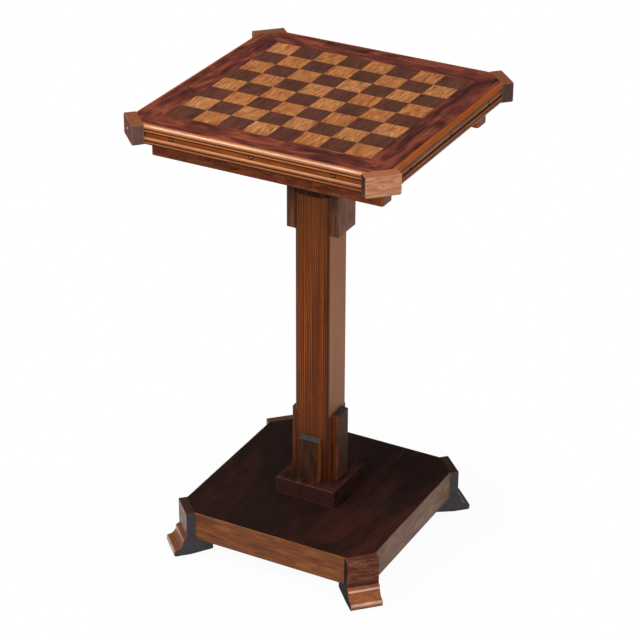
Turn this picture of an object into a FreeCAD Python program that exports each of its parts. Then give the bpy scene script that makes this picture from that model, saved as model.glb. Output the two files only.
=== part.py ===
import FreeCAD, Part
import math
import os

import Sketcher

# Pedestal chess table: a clipped-corner base on four ogee feet, a square column with
# buttresses at both ends, and an inlaid top with a beaded edge and corner blocks.
# Millimetres, +Z up, origin on the floor under the middle of the column. The front
# edge faces -Y.

SIZES = {
    # whole table
    "table_height": 726,
    "joint_gap": 0.2,
    "overrun": 1,
    "eased_edge": 0.7,
    # inlaid top
    "squares_per_side": 8,
    "square_side": 40,
    "square_thickness": 6,
    "border_width": 41.5,
    "core_thickness": 20,
    "top_corner_cut": 37.4,
    # edge moulding, from its top edge down
    "moulding_reach": 6,
    "moulding_field": 3.9,
    "top_bead_radius": 4.8,
    "top_bead_return_share": 0.62,
    "quirk_height": 0.5,
    "thin_bead_height": 3,
    "thin_bead_reach": 1.05,
    "field_height": 7.1,
    "middle_bead_height": 6.5,
    "middle_bead_reach": 2,
    "lower_bead_height": 3.6,
    "lower_bead_reach": 1.3,
    "moulding_foot": 1,
    # corner blocks of the top
    "corner_block_thickness": 17.5,
    "corner_block_reveal": 0.7,
    "corner_block_drop": 1,
    "corner_block_bottom_round": 3.2,
    "corner_block_top_round": 1.6,
    "corner_block_face_round": 1,
    # battens under the top
    "batten_width": 28,
    "batten_depth": 38,
    "batten_edge_inset": 39.5,
    "batten_end_inset": 23,
    "batten_chamfer": 2.5,
    # column
    "column_side": 57,
    "column_arris": 2.4,
    "tenon_side": 32,
    "tenon_length": 14,
    # upper cheeks and brackets
    "upper_cheek_length": 177,
    "upper_cheek_width": 54.2,
    "upper_cheek_thickness": 14.8,
    "upper_bracket_length": 116,
    "upper_bracket_width": 41,
    "upper_bracket_thickness": 7,
    # lower buttresses
    "lower_cheek_length": 114,
    "lower_cheek_slope": 1.5,
    "lower_front_length": 76,
    "lower_front_slope": 3.5,
    "lower_buttress_width": 34.5,
    "lower_buttress_thickness": 11,
    # plinth
    "plinth_side": 102,
    "plinth_height": 28,
    "plinth_chamfer": 1.5,
    # base frame
    "base_side": 329,
    "base_corner_cut": 35.5,
    "rail_height": 47,
    "rail_thickness": 20,
    "rail_lip": 2.2,
    "panel_thickness": 16,
    "glue_block_leg": 34,
    "glue_block_clearance": 4,
    # feet
    "foot_clearance": 26.6,
    "foot_block_thickness": 14,
    "foot_ogee_height": 29,
    "foot_ovolo": 5.8,
    "foot_step": 1.3,
    "foot_toe_reach": 20.5,
    "foot_lip_height": 10.5,
    "foot_lip_back": 1.6,
    "foot_lip_chamfer": 1.8,
    "foot_cove_depth": 3.2,
    "foot_sole_length": 24,
    "foot_sole_rise": 4.5,
    "foot_tail": 27.5,
    # nails, pins and screws
    "nail_spacing": 128,
    "nail_depth_below_top": 14.7,
    "nail_head_radius": 1.3,
    "nail_head_rise": 0.6,
    "nail_shank_radius": 0.8,
    "nail_length": 14,
    "pin_depth_below_top": 14,
    "pin_head_radius": 2.1,
    "pin_head_rise": 1.1,
    "pin_shank_radius": 1.3,
    "pin_length": 30,
    "screw_head_radius": 4.2,
    "screw_head_height": 3,
    "screw_slot_width": 1,
    "screw_slot_depth": 1,
    "screw_shank_radius": 2,
    "batten_screw_spacing": 140,
    "batten_screw_recess": 14,
    "batten_screw_length": 36,
    "plinth_screw_spacing": 66,
    "plinth_screw_length": 34,
}

doc = FreeCAD.newDocument("chess_table")
sheet = doc.addObject("Spreadsheet::Sheet", "Sizes")


def fill_sheet():
    """Write one row for each named size and give its value cell an alias."""
    for row, (alias, value) in enumerate(SIZES.items(), start=1):
        sheet.set(f"A{row}", alias)
        sheet.set(f"B{row}", str(value))
        sheet.setAlias(f"B{row}", alias)
    doc.recompute()


def size(alias):
    """Return the expression that reads one named size."""
    return f"Sizes.{alias}"


def value(expression):
    """Return the number that an expression on the sheet gives now."""
    return float(sheet.evalExpression(expression))


# heights above the floor
TOP = size("table_height")
CORE_TOP = f"({TOP} - {size('square_thickness')})"
UNDERSIDE = f"({CORE_TOP} - {size('core_thickness')})"
RAIL_BOTTOM = size("foot_clearance")
BASE_TOP = f"({RAIL_BOTTOM} + {size('rail_height')})"
PANEL_BOTTOM = f"({BASE_TOP} - {size('panel_thickness')})"
PLINTH_TOP = f"({BASE_TOP} + {size('plinth_height')})"
BATTEN_BOTTOM = f"({UNDERSIDE} - {size('batten_depth')})"

# half widths about the column
BOARD = f"({size('squares_per_side')} * {size('square_side')} / 2)"
BORDER = f"({BOARD} + {size('border_width')})"
RIM = f"({BORDER} + {size('moulding_reach')})"
BASE = f"({size('base_side')} / 2)"
COLUMN = f"({size('column_side')} / 2)"

# a clipped corner keeps the points whose |x| + |y| stays within these sums
TOP_CLIP = f"(2 * {RIM} - {size('top_corner_cut')})"
BASE_CLIP = f"(2 * {BASE} - {size('base_corner_cut')})"
ROOT_TWO = "sqrt(2)"

SIDES = ("front", "right", "back", "left")
CORNERS = ("back_right", "back_left", "front_left", "front_right")

nodes = []


def keep(item, label):
    """Name a finished sub-part and put it on the list of written pieces."""
    item.Label = label
    nodes.append(item)
    return item


def new_body(name):
    """Return an empty body."""
    return doc.addObject("PartDesign::Body", name)


def origin_plane(body, role):
    """Return the origin plane of a body that has the given role."""
    return [item for item in body.Origin.OriginFeatures if item.Role == role][0]


def new_sketch(body, name, role, lift="0"):
    """Return a sketch on an origin plane of its body, lifted along the normal."""
    sketch = body.newObject("Sketcher::SketchObject", name)
    sketch.AttachmentSupport = [(origin_plane(body, role), "")]
    sketch.MapMode = "FlatFace"
    sketch.setExpression("AttachmentOffset.Base.z", lift)
    return sketch


def fix_point(sketch, index, position, point):
    """Hold one end of a sketch edge at a point given by two expressions."""
    for kind, expression in zip(("DistanceX", "DistanceY"), point):
        rule = Sketcher.Constraint(kind, -1, 1, index, position, value(expression))
        number = sketch.addConstraint(rule)
        sketch.setExpression(f"Constraints[{number}]", expression)


def arc_edge(start, end, bulge):
    """Return the arc between two vectors that bulges to the right by a height.

    An arc runs counterclockwise, so a bulge to the left runs from end to start.
    """
    chord = end - start
    side = FreeCAD.Vector(chord.y, -chord.x, 0).normalize()
    if bulge < 0:
        side = side * -1
    rise = abs(bulge)
    radius = (chord.Length ** 2 / 4 + rise ** 2) / (2 * rise)
    centre = (start + end) / 2 + side * (rise - radius)
    first, last = (start, end) if bulge > 0 else (end, start)
    angles = [math.atan2((p - centre).y, (p - centre).x) for p in (first, last)]
    circle = Part.Circle(centre, FreeCAD.Vector(0, 0, 1), radius)
    return Part.ArcOfCircle(circle, *angles)


def draw_outline(sketch, points, arcs=None):
    """Draw a closed outline.

    points are pairs of expressions, arcs maps the number of an edge to the
    expression of its bulge, which is positive to the right of the edge.
    """
    arcs = arcs or {}
    places = [FreeCAD.Vector(value(x), value(y), 0) for x, y in points]
    count = len(places)
    edges = []
    for number, start in enumerate(places):
        end = places[(number + 1) % count]
        if number in arcs:
            edges.append(add_arc(sketch, start, end, arcs[number], points, number))
        else:
            index = sketch.addGeometry(Part.LineSegment(start, end), False)
            edges.append((index, 1, 2))
    for number, (index, first, last) in enumerate(edges):
        following, following_first, _ = edges[(number + 1) % count]
        join = Sketcher.Constraint("Coincident", index, last, following, following_first)
        sketch.addConstraint(join)
        fix_point(sketch, index, first, points[number])
    return sketch


def add_arc(sketch, start, end, bulge, points, number):
    """Add one arc edge, tied to a radius that follows from its chord and bulge."""
    height = value(bulge)
    curve = arc_edge(start, end, height)
    index = sketch.addGeometry(curve, False)
    span = chord_squared(points[number], points[(number + 1) % len(points)])
    radius = f"({span} / 4 + ({bulge})^2) / (2 * abs({bulge}))"
    rule = Sketcher.Constraint("Radius", index, curve.Radius)
    sketch.setExpression(f"Constraints[{sketch.addConstraint(rule)}]", radius)
    return (index, 1, 2) if height > 0 else (index, 2, 1)


def chord_squared(first, second):
    """Return the squared distance between two points of expressions."""
    (x1, y1), (x2, y2) = first, second
    return f"(({x2} - ({x1}))^2 + ({y2} - ({y1}))^2)"


def add_pad(body, sketch, length, symmetric=False, reverse=False):
    """Pad a sketch by a length expression."""
    pad = body.newObject("PartDesign::Pad", sketch.Name + "_pad")
    pad.Profile = sketch
    pad.setExpression("Length", length)
    pad.Midplane = symmetric
    pad.Reversed = reverse
    doc.recompute()
    return pad


def add_pocket(body, sketch, length, reverse=False, symmetric=False):
    """Cut a sketch out of its body and make sure that it removed something."""
    before = body.Shape.Volume
    pocket = body.newObject("PartDesign::Pocket", sketch.Name + "_pocket")
    pocket.Profile = sketch
    pocket.setExpression("Length", length)
    pocket.Reversed = reverse
    pocket.Midplane = symmetric
    doc.recompute()
    if pocket.Shape.Volume >= before:
        raise RuntimeError(f"{sketch.Name} cuts nothing")
    return pocket


def edge_names(shape, chosen):
    """Return the names of the edges that a test accepts."""
    return [f"Edge{n}" for n, edge in enumerate(shape.Edges, start=1) if chosen(edge)]


def add_edge_feature(body, kind, chosen, amount, name="edges"):
    """Add a fillet or chamfer of a named amount to the chosen edges."""
    base = body.Tip
    names = edge_names(base.Shape, chosen)
    feature = body.newObject(f"PartDesign::{kind}", f"{body.Name}_{name}")
    feature.Base = (base, names)
    feature.setExpression("Radius" if kind == "Fillet" else "Size", amount)
    doc.recompute()
    return feature


def is_vertical(edge):
    """Tell whether an edge runs straight up."""
    box = edge.BoundBox
    return box.ZLength > max(box.XLength, box.YLength) * 10


def spans(edge, axis):
    """Tell whether an edge runs along X or Y only."""
    box = edge.BoundBox
    lengths = {"X": box.XLength, "Y": box.YLength, "Z": box.ZLength}
    others = [length for name, length in lengths.items() if name != axis]
    return lengths[axis] > max(others) * 10


def turns(names):
    """Return each name with its share of a full turn, counted from the first."""
    return [(name, 360 * number / len(names)) for number, name in enumerate(names)]


def facing(name):
    """Return the direction that a side or corner faces, in degrees from +X."""
    if name in SIDES:
        return dict(turns(SIDES))[name] - turns(SIDES)[1][1]
    return dict(turns(CORNERS))[name] + turns(CORNERS)[1][1] / 2


def turn(item, degrees):
    """Turn a finished piece about the column."""
    spin = FreeCAD.Rotation(FreeCAD.Vector(0, 0, 1), degrees)
    item.Placement = FreeCAD.Placement(FreeCAD.Vector(0, 0, 0), spin)
    return item


def cut_with(blank, tools, label):
    """Bore a blank with other pieces, so that they sit in it without a gap."""
    result = blank
    for number, tool in enumerate(tools, start=1):
        cut = doc.addObject("Part::Cut", f"{label}_bored_{number}")
        cut.Base = result
        cut.Tool = tool
        result = cut
    doc.recompute()
    return keep(result, label)


def rectangle(left, right, low, high):
    """Return the four corner points between two pairs of expressions."""
    return [(left, low), (right, low), (right, high), (left, high)]


def octagon(half, clip):
    """Return the outline of a square whose corners are cut at 45 degrees."""
    short = f"({clip} - {half})"
    return [
        (f"-{short}", f"-{half}"), (short, f"-{half}"),
        (half, f"-{short}"), (half, short),
        (short, half), (f"-{short}", half),
        (f"-{half}", short), (f"-{half}", f"-{short}"),
    ]


def add_block(name, points, low, high):
    """Return a body padded between two heights from a plan outline."""
    body = new_body(name)
    sketch = new_sketch(body, f"{name}_plan", "XY_Plane", low)
    draw_outline(sketch, points)
    add_pad(body, sketch, f"{high} - {low}")
    return body


def cut_square_hole(body, name, side, low, depth):
    """Cut a square mortise about the column axis, upwards from a height."""
    half = f"({side} / 2)"
    sketch = new_sketch(body, name, "XY_Plane", low)
    draw_outline(sketch, rectangle(f"-{half}", half, f"-{half}", half))
    return add_pocket(body, sketch, depth, reverse=True)


def revolve_fixing(name, outline):
    """Return a body turned about its own Z axis."""
    body = new_body(name)
    sketch = new_sketch(body, f"{name}_profile", "XZ_Plane")
    draw_outline(sketch, outline)
    turned = body.newObject("PartDesign::Revolution", f"{name}_turned")
    turned.Profile = sketch
    turned.ReferenceAxis = (sketch, ["V_Axis"])
    turned.Angle = 360
    doc.recompute()
    return body


def copy_along(body, feature, direction, spacing, count):
    """Return a linear pattern with a spacing expression."""
    pattern = doc.addObject("PartDesign::LinearPattern", f"{feature.Name}_{direction[1][0]}")
    body.addObject(pattern)
    pattern.Direction = direction
    pattern.Occurrences = count
    pattern.setExpression("Length", f"{spacing} * {count - 1}")
    return pattern


def add_multi_transform(body, originals, steps):
    """Repeat features with several patterns in turn."""
    result = body.newObject("PartDesign::MultiTransform", f"{body.Name}_copies")
    result.Originals = originals
    result.Transformations = steps
    body.Tip = result
    doc.recompute()
    return result


# base frame

def make_base_panel():
    """The dark board let into the rails, clipped where the feet stand."""
    half = f"({BASE} - {size('rail_lip')})"
    return add_block("panel_blank", octagon(half, BASE_CLIP), PANEL_BOTTOM, BASE_TOP)


def make_rails():
    """Four rails with a rebate for the panel, clipped at the corners."""
    inner = f"({BASE} - {size('rail_thickness')})"
    lip = f"({BASE} - {size('rail_lip')})"
    ease = size("eased_edge")
    profile = [
        (f"-({BASE} - {ease})", RAIL_BOTTOM), (f"-{inner}", RAIL_BOTTOM),
        (f"-{inner}", PANEL_BOTTOM), (f"-{lip}", PANEL_BOTTOM),
        (f"-{lip}", BASE_TOP), (f"-({BASE} - {ease})", BASE_TOP),
        (f"-{BASE}", f"({BASE_TOP} - {ease})"), (f"-{BASE}", f"({RAIL_BOTTOM} + {ease})"),
    ]
    far = f"({BASE} + {size('overrun')})"
    near = f"({inner} - {size('overrun')})"
    diagonal = f"({BASE_CLIP} / 2)"
    for side, degrees in turns(SIDES):
        body = new_body(f"rail_{side}")
        sketch = new_sketch(body, f"rail_{side}_section", "YZ_Plane")
        draw_outline(sketch, profile)
        add_pad(body, sketch, f"2 * {BASE}", symmetric=True)
        for hand in ("", "-"):
            corner = [
                (f"{hand}{near}", f"-{near}"), (f"{hand}{diagonal}", f"-{diagonal}"),
                (f"{hand}({BASE_CLIP} - {far})", f"-{far}"), (f"{hand}{far}", f"-{far}"),
                (f"{hand}{far}", f"-{near}"),
            ]
            plan = new_sketch(body, f"rail_{side}_end{'_b' if hand else '_a'}", "XY_Plane")
            draw_outline(plan, corner)
            add_pocket(body, plan, f"{BASE_TOP} + {size('overrun')}", reverse=True)
        turn(body, degrees)
        keep(body, f"base_rail_{side}")


def foot_profile():
    """Return the side outline of a foot, outwards along X and up along Y."""
    back = f"({BASE_CLIP} / {ROOT_TWO})"
    face = f"({back} + {size('foot_block_thickness')})"
    ogee = size("foot_ogee_height")
    ridge = f"({face} + {size('foot_ovolo')})"
    ridge_low = f"({ogee} - {size('foot_ovolo')} - {size('foot_step')})"
    toe = f"({face} + {size('foot_toe_reach')})"
    lip = size("foot_lip_height")
    chamfer = size("foot_lip_chamfer")
    sole = f"({toe} - {chamfer} - {size('foot_sole_length')})"
    tail = f"({back} - {size('foot_tail')})"
    points = [
        (back, BASE_TOP), (back, RAIL_BOTTOM), (tail, RAIL_BOTTOM),
        (tail, size("foot_sole_rise")), (sole, "0"), (f"({toe} - {chamfer})", "0"),
        (toe, chamfer), (toe, f"({lip} - {size('foot_lip_back')})"),
        (f"({toe} - {size('foot_lip_back')})", lip), (ridge, ridge_low),
        (ridge, f"({ogee} - {size('foot_ovolo')})"), (face, ogee), (face, BASE_TOP),
    ]
    quarter = f"({size('foot_ovolo')} * ({ROOT_TWO} - 1) / {ROOT_TWO})"
    arcs = {8: f"-{size('foot_cove_depth')}", 10: quarter}
    return points, arcs


def make_feet():
    """Four feet across the clipped corners, each with an ogee toe."""
    points, arcs = foot_profile()
    width = f"{size('base_corner_cut')} * {ROOT_TWO}"
    top = value(BASE_TOP)
    for corner in CORNERS:
        body = new_body(f"foot_body_{corner}")
        sketch = new_sketch(body, f"foot_{corner}_profile", "XZ_Plane")
        draw_outline(sketch, points, arcs)
        add_pad(body, sketch, width, symmetric=True)
        add_edge_feature(
            body, "Chamfer",
            lambda edge: edge.BoundBox.ZMin > top * 0.99 and spans(edge, "Y")
            and edge.BoundBox.XMin > value(f"{BASE_CLIP} / {ROOT_TWO}") * 1.01,
            size("eased_edge"))
        turn(body, facing(corner))
        keep(body, f"foot_{corner}")


def make_glue_blocks():
    """Three-cornered blocks that stiffen the inside corners of the frame."""
    inner = f"({BASE} - {size('rail_thickness')})"
    leg = size("glue_block_leg")
    low = f"({RAIL_BOTTOM} + {size('glue_block_clearance')})"
    points = [(inner, f"({inner} - {leg})"), (inner, inner), (f"({inner} - {leg})", inner)]
    for corner, degrees in turns(CORNERS):
        body = add_block(f"glue_body_{corner}", points, low, PANEL_BOTTOM)
        turn(body, degrees)
        keep(body, f"glue_block_{corner}")


# plinth and column

def make_plinth():
    """The square block that carries the column, with its mortise and eased top."""
    half = f"({size('plinth_side')} / 2)"
    square = rectangle(f"-{half}", half, f"-{half}", half)
    body = add_block("plinth_blank", square, BASE_TOP, PLINTH_TOP)
    top = value(PLINTH_TOP)
    add_edge_feature(body, "Chamfer", lambda edge: edge.BoundBox.ZMin > top * 0.999,
                     size("plinth_chamfer"))
    side = f"({size('tenon_side')} + {size('joint_gap')})"
    depth = f"({size('tenon_length')} + {size('joint_gap')})"
    cut_square_hole(body, "plinth_mortise", side, f"({PLINTH_TOP} - {depth})", depth)
    return body


def make_column():
    """The square column, tenoned at both ends, with stopped chamfers on its arrises."""
    half = size("column_side") + " / 2"
    square = rectangle(f"-({half})", f"({half})", f"-({half})", f"({half})")
    body = add_block("column_body", square, PLINTH_TOP, UNDERSIDE)
    tenon = f"({size('tenon_side')} / 2)"
    stub = rectangle(f"-{tenon}", tenon, f"-{tenon}", tenon)
    lower = new_sketch(body, "column_lower_tenon", "XY_Plane", PLINTH_TOP)
    draw_outline(lower, stub)
    add_pad(body, lower, size("tenon_length"), reverse=True)
    upper = new_sketch(body, "column_upper_tenon", "XY_Plane", UNDERSIDE)
    draw_outline(upper, stub)
    add_pad(body, upper, size("tenon_length"))
    start = f"({PLINTH_TOP} + {size('lower_cheek_length')})"
    stop = f"({UNDERSIDE} - {size('upper_cheek_length')})"
    inside = f"({COLUMN} - {size('column_arris')})"
    outside = f"({COLUMN} + {size('overrun')})"
    near = f"({inside} - {size('overrun')})"
    for number, (x_sign, y_sign) in enumerate((("", ""), ("-", ""), ("", "-"), ("-", "-"))):
        plan = new_sketch(body, f"column_arris_{number}", "XY_Plane", start)
        corner = [
            (f"{x_sign}{near}", f"{y_sign}{outside}"),
            (f"{x_sign}{outside}", f"{y_sign}{near}"),
            (f"{x_sign}{outside}", f"{y_sign}{outside}"),
        ]
        draw_outline(plan, corner)
        add_pocket(body, plan, f"{stop} - {start}", reverse=True)
    keep(body, "column")


def make_buttress(label, width, thickness, length, foot, slope=None):
    """A strip on one face of the column, with its free end cut to a slope.

    foot is the height of the end that meets the plinth or the top, and a
    length that starts with a minus sign hangs down from there.
    """
    far = f"({COLUMN} + {size(thickness)})"
    end = f"({foot} + {length})"
    outer_end = f"({end} - {slope})" if slope else end
    body = new_body(f"{label}_body")
    sketch = new_sketch(body, f"{label}_side", "XZ_Plane")
    points = [(COLUMN, foot), (far, foot), (far, outer_end), (COLUMN, end)]
    draw_outline(sketch, points)
    add_pad(body, sketch, size(width), symmetric=True)
    outer = value(far)
    add_edge_feature(
        body, "Chamfer",
        lambda edge: is_vertical(edge) and edge.BoundBox.XMin > outer * 0.999,
        size("eased_edge"))
    turn(body, facing(label.rpartition("_")[2]))
    keep(body, label)


def make_buttresses():
    """All eight strips around the column."""
    for side in ("left", "right"):
        make_buttress(f"lower_cheek_{side}", "lower_buttress_width",
                      "lower_buttress_thickness", size("lower_cheek_length"), PLINTH_TOP,
                      size("lower_cheek_slope"))
        make_buttress(f"upper_cheek_{side}", "upper_cheek_width",
                      "upper_cheek_thickness", f"(-{size('upper_cheek_length')})", UNDERSIDE)
    for side in ("front", "back"):
        make_buttress(f"lower_buttress_{side}", "lower_buttress_width",
                      "lower_buttress_thickness", size("lower_front_length"), PLINTH_TOP,
                      size("lower_front_slope"))
        make_buttress(f"upper_bracket_{side}", "upper_bracket_width",
                      "upper_bracket_thickness", f"(-{size('upper_bracket_length')})", UNDERSIDE)


# top

def make_core():
    """The board under the inlay, clipped at the corners, with its mortise."""
    body = add_block("core_blank", octagon(BORDER, TOP_CLIP), UNDERSIDE, CORE_TOP)
    side = f"({size('tenon_side')} + {size('joint_gap')})"
    depth = f"({size('tenon_length')} + {size('joint_gap')})"
    cut_square_hole(body, "core_mortise", side, UNDERSIDE, depth)
    return body


def make_squares(label, colour):
    """Every second square of the board, as one group of tiles."""
    side = size("square_side")
    gap = f"{size('joint_gap')} / 2"
    body = new_body(f"{label}_body")
    tiles = []
    for number in (0, 1):
        column = number if colour == "dark" else 1 - number
        left = f"({side} * {column} - {BOARD} + {gap})"
        right = f"({side} * {column + 1} - {BOARD} - {gap})"
        low = f"({side} * {number} - {BOARD} + {gap})"
        high = f"({side} * {number + 1} - {BOARD} - {gap})"
        plan = new_sketch(body, f"{label}_plan_{number}", "XY_Plane", CORE_TOP)
        draw_outline(plan, rectangle(left, right, low, high))
        tiles.append(add_pad(body, plan, size("square_thickness")))
    count = round(value(size("squares_per_side")) / 2)
    plan = tiles[0].Profile[0]
    steps = [
        copy_along(body, tiles[0], (plan, [axis]), f"2 * {side}", count)
        for axis in ("H_Axis", "V_Axis")
    ]
    add_multi_transform(body, tiles, steps)
    keep(body, label)


def make_borders():
    """Four mitred border boards around the squares."""
    short = f"({TOP_CLIP} - {BORDER})"
    diagonal = f"({TOP_CLIP} / 2)"
    points = [
        (f"-{BOARD}", f"-{BOARD}"), (f"-{diagonal}", f"-{diagonal}"),
        (f"-{short}", f"-{BORDER}"), (short, f"-{BORDER}"),
        (diagonal, f"-{diagonal}"), (BOARD, f"-{BOARD}"),
    ]
    for side, degrees in turns(SIDES):
        body = add_block(f"border_body_{side}", points, CORE_TOP, TOP)
        turn(body, degrees)
        keep(body, f"top_border_{side}")


def moulding_profile():
    """Return the beaded section, outwards along -X of the sketch and up along Y."""
    radius = size("top_bead_radius")
    share = size("top_bead_return_share")
    quirk = size("quirk_height")
    crown = f"({size('moulding_reach')} - {radius})"
    returned = f"({crown} + {radius} * sqrt(1 - {share}^2))"
    field = size("moulding_field")
    drops = ["0", "0"]
    reaches = ["0", crown]
    steps = [
        (returned, f"{radius} * (1 + {share})"), (field, quirk),
        (field, size("thin_bead_height")), (field, size("field_height")),
        (field, size("middle_bead_height")), (field, quirk),
        (field, size("lower_bead_height")), (field, size("moulding_foot")),
    ]
    total = "0"
    for reach, height in steps:
        total = f"({total} + {height})"
        reaches.append(reach)
        drops.append(total)
    reaches.append("0")
    drops.append(total)
    points = [
        (f"-({BORDER} + {reach})", f"({TOP} - {drop})")
        for reach, drop in zip(reaches, drops)
    ]
    top_bulge = f"({radius} - sqrt({radius}^2 - {chord_squared(points[1], points[2])} / 4))"
    arcs = {
        1: top_bulge, 3: size("thin_bead_reach"),
        5: size("middle_bead_reach"), 7: size("lower_bead_reach"),
    }
    return points, arcs, total


def make_mouldings(nails):
    """Four beaded strips round the edge, cut back at the clipped corners."""
    points, arcs, height = moulding_profile()
    far = f"({RIM} + {size('overrun')})"
    reach_back = f"({TOP_CLIP} - {far})"
    low = f"({TOP} - {height} - {size('overrun')})"
    through = f"({height} + 2 * {size('overrun')})"
    for side, degrees in turns(SIDES):
        body = new_body(f"moulding_{side}")
        sketch = new_sketch(body, f"moulding_{side}_section", "YZ_Plane")
        draw_outline(sketch, points, arcs)
        add_pad(body, sketch, f"2 * {RIM}", symmetric=True)
        for hand in ("", "-"):
            corner = [
                (f"{hand}{reach_back}", f"-{far}"), (f"{hand}{far}", f"-{far}"),
                (f"{hand}{far}", f"-{reach_back}"),
            ]
            plan = new_sketch(body, f"moulding_{side}_end{'_b' if hand else '_a'}",
                              "XY_Plane", low)
            draw_outline(plan, corner)
            add_pocket(body, plan, through, reverse=True)
        turn(body, degrees)
        cut_with(body, [nails], f"edge_moulding_{side}")


def make_corner_blocks(pins):
    """Four rounded blocks across the clipped corners of the top."""
    _, _, height = moulding_profile()
    back = f"({TOP_CLIP} / {ROOT_TWO})"
    face = f"({back} + {size('corner_block_thickness')})"
    cut = f"{size('top_corner_cut')} * {ROOT_TWO} / 2"
    half = f"({cut} - {size('corner_block_reveal')})"
    low = f"({TOP} - {height} - {size('corner_block_drop')})"
    outline = rectangle(back, face, f"-{half}", half)
    outer, crown, floor = value(face), value(TOP), value(low)
    slack = value(size("corner_block_thickness")) / 100
    for corner in CORNERS:
        body = add_block(f"corner_body_{corner}", outline, low, TOP)
        for name, low_or_high in (("bottom", floor), ("top", crown)):
            add_edge_feature(
                body, "Fillet",
                lambda edge, level=low_or_high: spans(edge, "X")
                and abs(edge.BoundBox.ZMax - level) < slack,
                size(f"corner_block_{name}_round"), name)
        add_edge_feature(
            body, "Fillet", lambda edge: edge.BoundBox.XMin > outer - slack,
            size("corner_block_face_round"), "face")
        turn(body, facing(corner))
        cut_with(body, [pins], f"corner_block_{corner}")


def make_battens(screws):
    """Two battens under the top, along its front and back edges."""
    near = f"({RIM} - {size('batten_edge_inset')})"
    inner = f"({near} - {size('batten_width')})"
    end = f"({RIM} - {size('batten_end_inset')})"
    outline = rectangle(f"-{end}", end, f"-{near}", f"-{inner}")
    floor = value(BATTEN_BOTTOM) + value(size("eased_edge")) / 2
    for side, degrees in turns(SIDES)[::2]:
        body = add_block(f"batten_body_{side}", outline, BATTEN_BOTTOM, UNDERSIDE)
        add_edge_feature(body, "Chamfer", is_vertical, size("batten_chamfer"), "ends")
        add_edge_feature(body, "Chamfer", lambda edge: edge.BoundBox.ZMax < floor,
                         size("eased_edge"), "bottom")
        turn(body, degrees)
        well = f"batten_{side}_wells"
        cut_with(body, [screws, make_wells(well, side)], f"batten_{side}")


# nails, pins and screws

def nail_outline(head, rise, shank, length):
    """Return half of a domed nail, with its head's back face at height 0."""
    half_rise = f"({size(rise)} / 2)"
    return [
        ("0", f"-{size(length)}"), (size(shank), f"-{size(length)}"),
        (size(shank), "0"), (size(head), "0"), (size(head), half_rise),
        (f"({size(head)} / 2)", size(rise)), ("0", size(rise)),
    ]


def lay(body, degrees, x, y, z, tilt):
    """Tilt a body about X or Y, turn it, and lay it at a place."""
    spin = FreeCAD.Rotation(FreeCAD.Vector(0, 0, 1), degrees)
    body.Placement.Rotation = spin.multiply(tilt)
    body.setExpression("Placement.Base.x", x)
    body.setExpression("Placement.Base.y", y)
    body.setExpression("Placement.Base.z", z)
    doc.recompute()


def make_group(label, outline, places, tilt):
    """A group of equal turned fixings, one solid for each place."""
    copies = []
    for number, (degrees, x, y, z) in enumerate(places):
        body = revolve_fixing(f"{label}_{number}", outline)
        lay(body, degrees, x, y, z, tilt)
        copies.append(body)
    group = doc.addObject("Part::Compound", label)
    group.Links = copies
    doc.recompute()
    return keep(group, label)


def make_nails():
    """Three nails through the flat of each edge moulding."""
    outline = nail_outline("nail_head_radius", "nail_head_rise", "nail_shank_radius",
                           "nail_length")
    reach = f"({BORDER} + {size('moulding_field')})"
    height = f"({TOP} - {size('nail_depth_below_top')})"
    places = []
    for _, degrees in turns(SIDES):
        angle = math.radians(degrees)
        cos, sin = round(math.cos(angle)), round(math.sin(angle))
        for step in (-1, 0, 1):
            along = f"({step} * {size('nail_spacing')})"
            x = f"({cos} * {along} + {sin} * {reach})"
            y = f"({sin} * {along} - {cos} * {reach})"
            places.append((degrees, x, y, height))
    tilt = FreeCAD.Rotation(FreeCAD.Vector(1, 0, 0), 90)
    return make_group("moulding_nails", outline, places, tilt)


def make_pins():
    """One domed pin in the middle of each corner block."""
    outline = nail_outline("pin_head_radius", "pin_head_rise", "pin_shank_radius",
                           "pin_length")
    face = f"({TOP_CLIP} / {ROOT_TWO} + {size('corner_block_thickness')})"
    height = f"({TOP} - {size('pin_depth_below_top')})"
    places = []
    for corner in CORNERS:
        degrees = facing(corner)
        angle = math.radians(degrees)
        across = f"({face} / {ROOT_TWO})"
        x = f"({round(math.copysign(1, math.cos(angle)))} * {across})"
        y = f"({round(math.copysign(1, math.sin(angle)))} * {across})"
        places.append((degrees, x, y, height))
    tilt = FreeCAD.Rotation(FreeCAD.Vector(0, 1, 0), 90)
    return make_group("corner_pins", outline, places, tilt)


def screw_outline(length):
    """Return half of a countersunk screw that points up from height 0."""
    head, shank = size("screw_head_radius"), size("screw_shank_radius")
    rise = size("screw_head_height")
    total = size(length)
    return [
        ("0", "0"), (head, "0"), (shank, rise), (shank, f"({total} - {shank})"),
        ("0", total),
    ]


def make_screws(label, length, places):
    """A group of upright screws with a straight slot across each head."""
    copies = []
    half = f"({size('screw_slot_width')} / 2)"
    wide = f"({size('screw_head_radius')} + {size('overrun')})"
    for number, (x, y, z) in enumerate(places):
        body = revolve_fixing(f"{label}_{number}", screw_outline(length))
        slot = new_sketch(body, f"{label}_{number}_slot", "XY_Plane")
        draw_outline(slot, rectangle(f"-{wide}", wide, f"-{half}", half))
        add_pocket(body, slot, size("screw_slot_depth"), reverse=True)
        lay(body, 0, x, y, z, FreeCAD.Rotation())
        copies.append(body)
    group = doc.addObject("Part::Compound", label)
    group.Links = copies
    doc.recompute()
    return keep(group, label)


def batten_screw_places():
    """Return the places of the batten screws, three in each batten."""
    middle = f"({RIM} - {size('batten_edge_inset')} - {size('batten_width')} / 2)"
    low = f"({BATTEN_BOTTOM} + {size('batten_screw_recess')})"
    return [
        (f"({step} * {size('batten_screw_spacing')})", f"({sign} * {middle})", low)
        for sign in (-1, 1) for step in (-1, 0, 1)
    ]


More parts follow.
